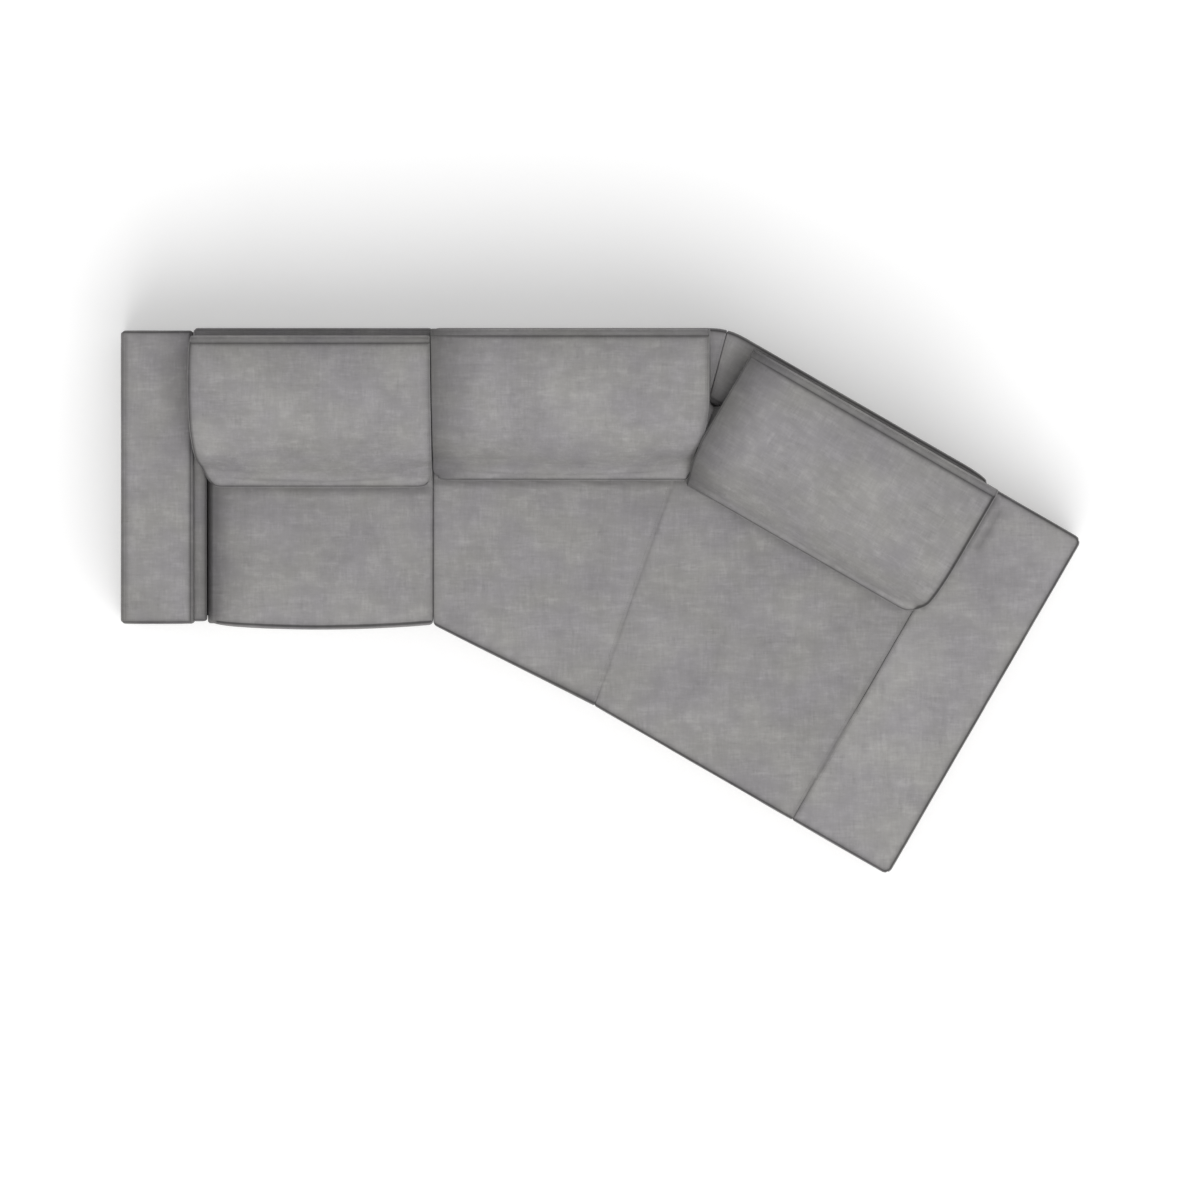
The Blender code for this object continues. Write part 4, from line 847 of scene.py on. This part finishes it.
def smoothLine(rows, shares):
    # A smooth line drawn along its rows, through the first and the last; shares run from 0 to 1.
    rows = np.asarray(rows, float).reshape(len(rows), -1)
    padded = np.vstack([2.0 * rows[:1] - rows[1:2], rows, 2.0 * rows[-1:] - rows[-2:-1]])
    place = np.clip(np.asarray(shares, float), 0.0, 1.0) * (len(rows) - 1)
    base = np.minimum(place.astype(int), len(rows) - 2)
    t = (place - base)[:, None]
    p0, p1, p2, p3 = (padded[base + number] for number in range(4))
    near = (1.0 - t) ** 3 * p0 + (3.0 * t ** 3 - 6.0 * t ** 2 + 4.0) * p1
    return (near + (-3.0 * t ** 3 + 3.0 * t ** 2 + 3.0 * t + 1.0) * p2 + t ** 3 * p3) / 6.0


def cushionRows(setback, lip):
    # A cushion's section as depths and heights: its face, and its back and underside.
    front, over, inner, bottom, top = (cushionLook[key] for key in ("depth", "over", "inner", "bottom", "top"))
    front += setback
    shoulder = front - cushionLook["recline"]
    face = [(setback, over + 0.075), (setback + 0.030, top - 0.015), (setback + 0.120, top + 0.003),
            (shoulder - 0.105, top + 0.003), (shoulder, top - 0.022), (front - 0.105 - 0.008 * lip, top - 0.105)]
    # the lower part draws in above a lip that lies forward over the seat
    for draw, height in ((0.030, top - 0.205), (0.048, bottom + 0.115), (0.019, bottom + 0.090), (0.0, bottom + 0.046)):
        base = np.interp(height, (bottom + 0.046, top - 0.205), (0.0, -0.052))
        face.append((front + 0.002 + base - draw * lip, height))
    face += [(front + 0.004, bottom + 0.008), (front - 0.050, bottom)]
    under = [(setback, over + 0.025), (setback + 0.030, over), (inner - 0.120, over), (inner - 0.050, over),
             (inner + 0.006, over + 0.006), (inner, over - 0.050), (inner, over - 0.100), (inner, bottom + 0.110),
             (inner, bottom + 0.060), (inner + 0.004, bottom + 0.020), (inner + 0.050, bottom)]
    return face, under


def lowerShare(height):
    # 0 on the cushion's upper part, rising to 1 where it stands between its neighbours.
    return min(max((0.80 - height) / 0.28, 0.0), 1.0)


def cushionJoint(depth):
    # The line where the left and the middle cushion lean on each other
    return float(np.interp(depth, (0.0, 0.25, 0.32, 0.50, 0.56), (-1.0410, -1.0390, -1.0375, -1.0345, -1.0330)))


def leftEnds(depth, height):
    # It swells out over the arm and is narrower between the arm's pad and the next cushion.
    start = np.interp(height, (0.44, 0.50, 0.525, 0.55, 0.60, 0.68, 0.74, 0.80, 0.85),
                      (-1.8150, -1.8180, -1.8235, -1.8470, -1.8570, -1.8640, -1.8710, -1.8815, -1.8910))
    return float(start), cushionJoint(depth) - cushionLook["joint"]


def rightEnds(depth, height):
    forward = min(max((depth - 0.34) / 0.16, 0.0), 1.0)
    return 0.115 + 0.028 * lowerShare(height) * forward, 1.0532 + 0.052 - 0.022 * lowerShare(height)


def middleEnds(depth, height):
    # The right end lies along the right cushion's side, which slants across it.
    side = rightEnds(depth, height)[0] - cushionLook["joint"]
    slant = side * wingCos - wingSin / wingCos * (depth - side * wingSin)
    return cushionJoint(depth) + cushionLook["joint"], min(-0.066 + 0.014 * lowerShare(height), slant)


def cushionShape(place, ends, own):
    look, setback, rounds, bulges = cushionLook, own["setback"], own["rounds"], own["bulges"]
    (low, high), (startEdge, endEdge), edgeAt = look["panels"], look["runEdges"], look["edgeLine"]
    face, under = cushionRows(setback, own["lip"])
    table = np.linspace(0.0, 1.0, 400)
    faceLine, underLine = smoothLine(face, table), smoothLine(under, table)
    lengths = np.concatenate([[0.0], np.cumsum(np.hypot(*np.diff(faceLine, axis=0).T))])
    run = lengths[-1]
    bandAt = np.interp(setback + own["band"], faceLine[:200, 0], lengths[:200])
    footAt = lengths[np.argmax(faceLine[:, 0] > faceLine[:, 0].max() - look["footLine"])]
    limits = [[ends(depth, height) for depth, height in sheet] for sheet in (face, under)]
    wide = float(np.mean([end - start for start, end in limits[0]]))
    aRows = rowsBetween(wide, *rounds, look["step"], [edgeAt, wide - edgeAt])
    bRows = rowsBetween(run, startEdge, endEdge, look["step"], [edgeAt, bandAt, footAt])
    cRows = [0.0, low * 0.5, low, low + 0.03, low + 0.08, high - 0.08, high - 0.03, high, high + 0.03, 0.975, 1.0]
    cRows = sorted(cRows + list(np.linspace(low + 0.08, high - 0.08, 9)[1:-1]))
    cells, faces = boxSkin((len(aRows), len(bRows), len(cRows)))
    # the rows run rear to front, which turns the skin inside out
    faces = [corners[::-1] for corners in faces]
    # a runs across, b along the face from its rear to its foot, and c from the back panel to the face
    a, b, c = np.array([(aRows[i], bRows[j], cRows[k]) for i, j, k in cells]).T
    share = np.interp(b, lengths, table)
    thick = np.interp(share, table, np.linalg.norm(faceLine - underLine, axis=1))
    drops = (1.0 - high) * thick
    edges = {"left": (rounds[0], drops), "right": (rounds[1], drops), "bottom": low * thick,
             "front": (startEdge, np.minimum(startEdge, drops)), "rear": (endEdge, np.minimum(endEdge, drops))}
    local = roundOff(np.stack([a, b, c * thick], axis=1), (wide, run, thick), edges)
    share, across = np.interp(local[:, 1], lengths, table), local[:, 0] / wide
    level = np.clip(local[:, 2] / thick, 0.0, 1.0)[:, None]
    upper, lower = smoothLine(face, share), smoothLine(under, share)
    crown = smoothLine([look["crown"] * (row in look["crownRows"]) for row in range(len(face))], share)
    upper[:, 1] += crown[:, 0] * (4.0 * across * (1.0 - across) - 1.0)
    section = lower + (upper - lower) * level
    bounds = [smoothLine(sheet, share) for sheet in limits]
    bound = bounds[1] + (bounds[0] - bounds[1]) * level
    along = bound[:, 0] + (bound[:, 1] - bound[:, 0]) * across
    # the sides swell towards each other in the corner, half way down, where nothing holds them apart
    sunk = np.interp(section[:, 1], *look["sunk"])
    leftHole, rightHole = (np.interp(section[:, 0], *look[key]) for key in ("holeLeft", "holeRight"))
    along += sunk * (bulges[1] * leftHole * across ** 12 - bulges[0] * rightHole * (1.0 - across) ** 12)
    forward = section[:, 0].max()
    fromEnds = along - bound[:, 0], bound[:, 1] - along
    for radius, fromEnd, way in zip(own["corners"], fromEnds, (1.0, -1.0)):
        inwards, back = easeCorner(fromEnd, forward - section[:, 0], radius)
        along = along + way * inwards
        section[:, 0] -= back
    points = np.array([(*place(x, y), z) for x, (y, z) in zip(along, section)])
    # how far each point lies from the sewn lines, and the shade and groove that follow
    atEnd, atRear, onTop = (a < tiny) | (a > wide - tiny), b < tiny, c > 1.0 - tiny
    edge = np.where(onTop, abs(np.minimum(a, wide - a) - edgeAt), far)
    edge = np.hypot(np.where(atEnd, edgeAt + (1.0 - c) * thick, edge), np.maximum(bandAt - b, 0.0))
    band, foot, rear = (np.where(onTop, abs(b - line), far) for line in (bandAt, footAt, edgeAt))
    back = np.where(atEnd | atRear, abs(c - low) * thick, far)
    apart = np.minimum.reduce([edge, band, back])
    strength = np.where(a < wide / 2.0, *own["edgeShades"])
    seamsAndPaintedShade = np.maximum.reduce([seamShade(edge) * strength, seamShade(band), seamShade(back),
                               seamShade(foot) * look["footShade"], seamShade(rear) * look["rearShade"]])
    # painted shade towards some ends and where the face draws in above the lip
    for (amount, reach), distance in zip(own["endShades"], (a, wide - a)):
        seamsAndPaintedShade = np.maximum(seamsAndPaintedShade, amount * np.clip(1.0 - distance / reach, 0.0, 1.0) ** 1.5)
    middle, half, behind, spread, amount = own["hollowShade"]
    fromHollowShade = (setback + look["depth"] - behind - section[:, 0]) / spread
    seamsAndPaintedShade = np.maximum(seamsAndPaintedShade, np.exp(-fromHollowShade ** 2 - ((across - middle) / half) ** 2) * amount * onTop)
    held = np.where((apart < 1e-3) | (foot < look["heldFoot"]), look["heldSeam"], 0.0)
    held = np.where(atRear, look["heldRear"], held)
    held = np.where((c < tiny) | (b > run - tiny) | atEnd, 1.0, held)
    # stitches run beside the band from end to end, then down the face beside both ends
    beside, clear, last = stitchLook["beside"], look["stitchClear"][0], footAt - look["stitchClear"][1]
    lines = [(onTop, b, a, bandAt + beside, clear, wide - clear)]
    lines += [(onTop, a, b, line, bandAt + beside, last) for line in (edgeAt + beside, wide - edgeAt - beside)]
    return (points, faces, held), (seamsAndPaintedShade, seamGroove(apart), look["fill"], "sofa"), lines


# The left seat has a bowed front, and the cushion that stands on it holds its rear down
seatLeft, seatRight, bowed, bowSteps, proud = -1.8217, backJoint - seatMeet - 0.0005, 0.017, 12, 0.002


def bowedPoint(share):
    return middlePoint(seatLeft + (seatRight - seatLeft) * share, unitDepth + bowed * 4.0 * share * (1.0 - share))


leftSeatLook = dict(
    blockLook, front=[(step / bowSteps, bowedPoint(step / bowSteps)) for step in range(bowSteps + 1)],
    rear=straight(middlePoint(seatLeft, seatRear), middlePoint(seatRight, seatRear)),
    # painted shade on the left roll beside the arm and beside the gap on the right; frontShade paints shade along the
    # front roll
    sideShades={"left": ((0.0, 0.030, 0.095), (0.48, 0.26, 0.0)),
                "right": ((0.0, 0.007, 0.014, 0.022), (0.28, 0.13, 0.04, 0.0))},
    heights=(seatLow, seatHigh + proud), step=0.015, seed=31, still=("left", "right"), body="pull_out_seat",
    edges={"left": (0.080, 0.058), "right": (0.012, 0.006), "front": (0.022, 0.019), "rear": (0.020, 0.020),
           "bottom": 0.006},
    corners=(0.004, 0.004, 0.0, 0.0), ring={"front": [(0.0035, 1.2)]}, waves=0.0035, pucker=0.0010,
    contacts=[(leftContact, 0.50)], stitches={"front": 0.0125}, swellWidth=0.12, sideFree=0.3,
    frontShade=((0.0, 0.010, 0.032), (0.34, 0.16, 0.0)), fill=0.8,
)
shapes, sewn, stitchRows = {}, {}, {}
for name, place, ends, node, fabric in (
    ("leftBackCushion", middlePoint, leftEnds, "left_back_cushion", "leftCushion"),
    ("middleBackCushion", middlePoint, middleEnds, "middle_back_cushion", "middleCushion"),
    ("rightBackCushion", wingPoint, rightEnds, "right_back_cushion", "wing"),
):
    shapes[name], finish, stitchRows[name] = cushionShape(place, ends, cushionLooks[name])
    sewn[name] = (*finish, node, fabric)
points, faces, seamsAndPaintedShade, flat = blockShape(leftSeatLook)
onSide = flat[:, 2] < seatHigh + proud - seatLow - 1e-6
crownStart = middlePoint(0.0, cushionLook["depth"] + cushionLooks["leftBackCushion"]["setback"])[1]
held = np.where(onSide, 1.0, np.where(seamsAndPaintedShade > 0.9, 0.9, np.where(points[:, 1] > crownStart, 1.0, 0.0)))
seamsAndPaintedShade = np.maximum(seamsAndPaintedShade, np.interp(flat[:, 1], *leftSeatLook["frontShade"]) * ~onSide)
shapes["leftSeatPad"] = (points, faces, held)
finish = (seamsAndPaintedShade, np.zeros(len(points)), leftSeatLook["fill"], leftSeatLook["body"])
sewn["leftSeatPad"] = (*finish, "left_seat_pad", "seat")
filled = fillAll(shapes)
for name, (seamsAndPaintedShade, groove, fill, body, node, fabric) in sewn.items():
    points, faces = filled[name], shapes[name][1]
    points = points - meshNormals(points, faces) * groove[:, None]
    item = makeMesh(name, points, faces, fabrics[fabric], seamsAndPaintedShade)
    for row in stitchRows.get(name, []):
        stitchRow(item, body, points, *row)
    if name == "leftSeatPad":
        stitchBlock(item, leftSeatLook, points, flat)
    finishPiece(item, body, node)
print("filled pieces: three back cushions and the left seat")


thread = speckledMaterial("upholsteryThread", stitchLook["dark"], stitchLook["light"], (1.0, 2.0), 0.7,
                          bump=(1.0, 2.0, 0.5, 0.0002), stretch=(1900.0, 1900.0, 700.0))


def makeStitchTree():
    # Lines of edges in, one small rounded stitch at each step along them out
    tree, start, end = newGroup(
        "stitchRow", [("Geometry", "Geometry"), ("Pitch", "Float"), ("Length", "Float"), ("Radius", "Float"),
                      ("Thread", "Material")], [("Geometry", "Geometry")], "GeometryNodeTree")
    lines, pitch, length, radius, cord = (start.outputs[key] for key in (
        "Geometry", "Pitch", "Length", "Radius", "Thread"))
    curve = addNode(tree, "GeometryNodeMeshToCurve", {"Mesh": lines}).outputs[0]
    steps = addNode(tree, "GeometryNodeResampleCurve", {"Curve": curve, "Length": pitch}, mode="LENGTH").outputs[0]
    tangent = addNode(tree, "GeometryNodeInputTangent").outputs[0]
    aim = addNode(tree, "FunctionNodeAlignRotationToVector", {"Vector": tangent}, axis="Z").outputs[0]
    ball = addNode(tree, "GeometryNodeMeshUVSphere", {"Segments": 6, "Rings": 4, "Radius": 1.0}).outputs["Mesh"]
    half = addMath(tree, "MULTIPLY", length, 0.5)
    size = addNode(tree, "ShaderNodeCombineXYZ", {"X": radius, "Y": radius, "Z": half}).outputs[0]
    inputs = {"Points": steps, "Instance": ball, "Rotation": aim, "Scale": size}
    shape = addNode(tree, "GeometryNodeInstanceOnPoints", inputs).outputs[0]
    for kind in ("GeometryNodeRealizeInstances", "GeometryNodeSetShadeSmooth"):
        shape = addNode(tree, kind, {0: shape}).outputs[0]
    shape = addNode(tree, "GeometryNodeSetMaterial", {"Geometry": shape, "Material": cord}).outputs[0]
    feedAll(tree, end, {"Geometry": shape})
    return tree


stitchTree = makeStitchTree()


def makeStitches(name, body):
    points, edges = [], []
    for line in stitchLines[body]:
        edges += [(len(points) + step, len(points) + step + 1) for step in range(len(line) - 1)]
        points += line
    lines = bpy.data.meshes.new(name + "Lines")
    lines.from_pydata(points, edges, [])
    item = addObject(name, lines)
    modifier = item.modifiers.new("stitches", "NODES")
    modifier.node_group = stitchTree
    values = {"Thread": thread, **{key.capitalize(): stitchLook[key] for key in ("pitch", "length", "radius")}}
    for socket in stitchTree.interface.items_tree:
        if socket.in_out == "INPUT" and socket.name in values:
            modifier[socket.identifier] = values[socket.name]
    sewnMesh = bpy.data.meshes.new_from_object(item.evaluated_get(bpy.context.evaluated_depsgraph_get()))
    item.modifiers.clear()
    item.data = sewnMesh
    sewnMesh.name = name
    bpy.data.meshes.remove(lines)
    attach(item, body)
    return len(sewnMesh.polygons)


stitchFaces = [makeStitches("seamStitches", "sofa"), makeStitches("seatStitches", "pull_out_seat")]
print("stitches:", stitchFaces, "faces")

# Finishes of the carried-over nodes; a board's grain runs along it
grainTurns = {"turnX": 0.0, "turnY": math.pi / 2.0, "wing": wingTurn, "wingAcross": wingTurn + math.pi / 2.0}
boards = {
    ("plywood", "turnX"): ("left_back_frame", "middle_back_frame"),
    ("plywood", "turnY"): ("arm_frame",),
    ("plywood", "wing"): ("right_back_frame", "platform_deck"),
    ("pine", "turnX"): ("left_back_rail", "left_low_front_rail", "carriage_back", "carriage_front",
                        "middle_back_rail"),
    ("pine", "turnY"): ("left_side_rail_arm", "left_side_rail_open", "carriage_side_arm", "carriage_side_open",
                        "corner_side_rail", "cross_rail_1"),
    ("pine", "wing"): ("middle_front_rail", "right_front_rail", "right_back_rail", "platform_back_rail"),
    ("pine", "wingAcross"): ("end_rail", "cross_rail_2"),
}
cadFinish = {}
for (kind, way), boardNames in boards.items():
    cadFinish.update(dict.fromkeys(boardNames, woodMaterial(kind, way, grainTurns[way])))
zinc = speckledMaterial("zincSteel", (0.52, 0.52, 0.54), (0.66, 0.66, 0.67), (40.0, 4.0), 0.40, metal=1.0)
wire = speckledMaterial("springSteel", (0.30, 0.30, 0.31), (0.44, 0.44, 0.45), (25.0, 4.0), 0.42, metal=1.0)
footPlastic = speckledMaterial("blackPlastic", (0.014, 0.014, 0.016), (0.032, 0.032, 0.034), (60.0, 4.0), 0.5,
                               bump=(900.0, 2.0, 0.3, 0.0003))
for name, node in nodes.items():
    material = cadFinish.get(name)
    if name.startswith("foot_"):
        material = footPlastic
    elif name.startswith(("runner_", "joint_")):
        material = zinc
    elif name.endswith("_springs"):
        material = wire
    if material:
        node.data.materials.clear()
        node.data.materials.append(material)
print("carried-over nodes: timber, steel and plastic finishes")

# Black lining cloth stapled over the fixed rails, where the running gaps beside the pull-out seat show them
liningLook = {
    "thickness": 0.0012, "colour": (0.018, 0.018, 0.019), "fleck": 2.2, "clear": 0.0003, "rounding": 0.0003,
    "endLift": 0.002, "feltClear": 0.0004, "feltDepth": 0.930, "feltHeights": (0.060, 0.262),
}


def makeLining(name, boxes, body):
    # Thin strips, each a flat box with slightly rounded long edges
    points, faces, colour = [], [], liningLook["colour"]
    for (x0, y0, z0), (x1, y1, z1) in boxes:
        base = len(points)
        points += [(x, y, z) for z in (z0, z1) for x, y in ((x0, y0), (x1, y0), (x1, y1), (x0, y1))]
        faces += [tuple(base + corner for corner in face) for face in (
            (0, 3, 2, 1), (4, 5, 6, 7), (0, 1, 5, 4), (1, 2, 6, 5), (2, 3, 7, 6), (3, 0, 4, 7))]
    mesh = bpy.data.meshes.new(name)
    mesh.from_pydata(points, [], faces)
    light = tuple(value * liningLook["fleck"] for value in colour)
    mesh.materials.append(speckledMaterial("blackLining", colour, light, (420.0, 3.0), 0.95))
    item = addObject(name, mesh)
    rounding = item.modifiers.new("rounding", "BEVEL")
    rounding.width, rounding.segments = liningLook["rounding"], 2
    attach(item, body)


def railCover(node):
    # Over the rail's top and down its front end
    (x0, y0, z0), (x1, y1, z1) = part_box(node)
    front, under = y0 - liningLook["clear"], z1 + liningLook["clear"]
    over, thick = under + liningLook["thickness"], liningLook["thickness"]
    return [((x0, front, under), (x1, y1, over)), ((x0, front - thick, z0 + liningLook["endLift"]), (x1, front, over))]


makeLining("railLining", railCover("left_side_rail_arm") + railCover("left_side_rail_open"), "sofa")
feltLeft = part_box("left_back_cover")[1].x + liningLook["feltClear"]
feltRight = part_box("middle_back_cover")[0].x - liningLook["feltClear"]
feltLow, feltHigh = liningLook["feltHeights"]
makeLining("unitFelt", [((feltLeft, 0.0, feltLow), (feltRight, liningLook["feltDepth"], feltHigh))], "sofa")
print("linings: rails beside the pull-out seat, felt between the units")


# Floor, light and camera
stageLook = {
    "floorHalf": 60.0, "floorColour": (0.77, 0.77, 0.77), "floorGlow": 0.335, "worldLevel": 0.50,
    "sunStrength": 1.80, "sunSpread": 44.0, "sunFrom": (0.10, -0.52, 1.0), "cameraHeight": 150.0,
    "frameWidth": 4.2, "sharpHeight": 0.45, "sensor": 36.0,
}


def seenMask(tree):
    # 1 for what the camera and mirrors see, 0 for what lights the object
    camera, glossy, through = (tree.nodes.new("ShaderNodeLightPath").outputs[key] for key in (
        "Is Camera Ray", "Is Glossy Ray", "Is Transmission Ray"))
    return addMath(tree, "ADD", addMath(tree, "ADD", camera, glossy), through, clamp=True)


def makeStage():
    look, scene, white = stageLook, bpy.context.scene, (1.0, 1.0, 1.0)
    half, height = look["floorHalf"], look["cameraHeight"]
    mesh = bpy.data.meshes.new("studioFloor")
    corners = [(-half, -half, 0.0), (half, -half, 0.0), (half, half, 0.0), (-half, half, 0.0)]
    mesh.from_pydata(corners, [], [(0, 1, 2, 3)])
    material, tree, shader, place = startMaterial("paleFloor")
    glow = addMath(tree, "MULTIPLY", seenMask(tree), look["floorGlow"])
    feedAll(tree, shader, {"Base Color": look["floorColour"], "Roughness": 0.9, "Specular IOR Level": 0.0,
                           "Emission Color": white, "Emission Strength": glow})
    mesh.materials.append(material)
    addObject("studioFloor", mesh)
    scene.world = bpy.data.worlds.new("studio")
    scene.world.use_nodes = True
    tree = scene.world.node_tree
    level = addMath(tree, "MULTIPLY", seenMask(tree), 1.0 - look["worldLevel"])
    level = addMath(tree, "ADD", level, look["worldLevel"])
    feedAll(tree, tree.nodes["Background"], {"Color": white, "Strength": level})
    lamp = bpy.data.lights.new("softSun", "SUN")
    lamp.energy, lamp.angle = look["sunStrength"], math.radians(look["sunSpread"])
    sun = addObject("softSun", lamp)
    sun.rotation_euler = Vector(look["sunFrom"]).to_track_quat("Z", "Y").to_euler()
    lens = bpy.data.cameras.new("viewCamera")
    lens.sensor_width = look["sensor"]
    lens.lens = look["sensor"] * (height - look["sharpHeight"]) / look["frameWidth"]
    lens.clip_start, lens.clip_end = 1.0, height * 2.0
    scene.camera = addObject("viewCamera", lens)
    scene.camera.location = (0.0, 0.0, height)
    scene.view_settings.view_transform = "Standard"


makeStage()
print("stage: floor, world, sun and camera")
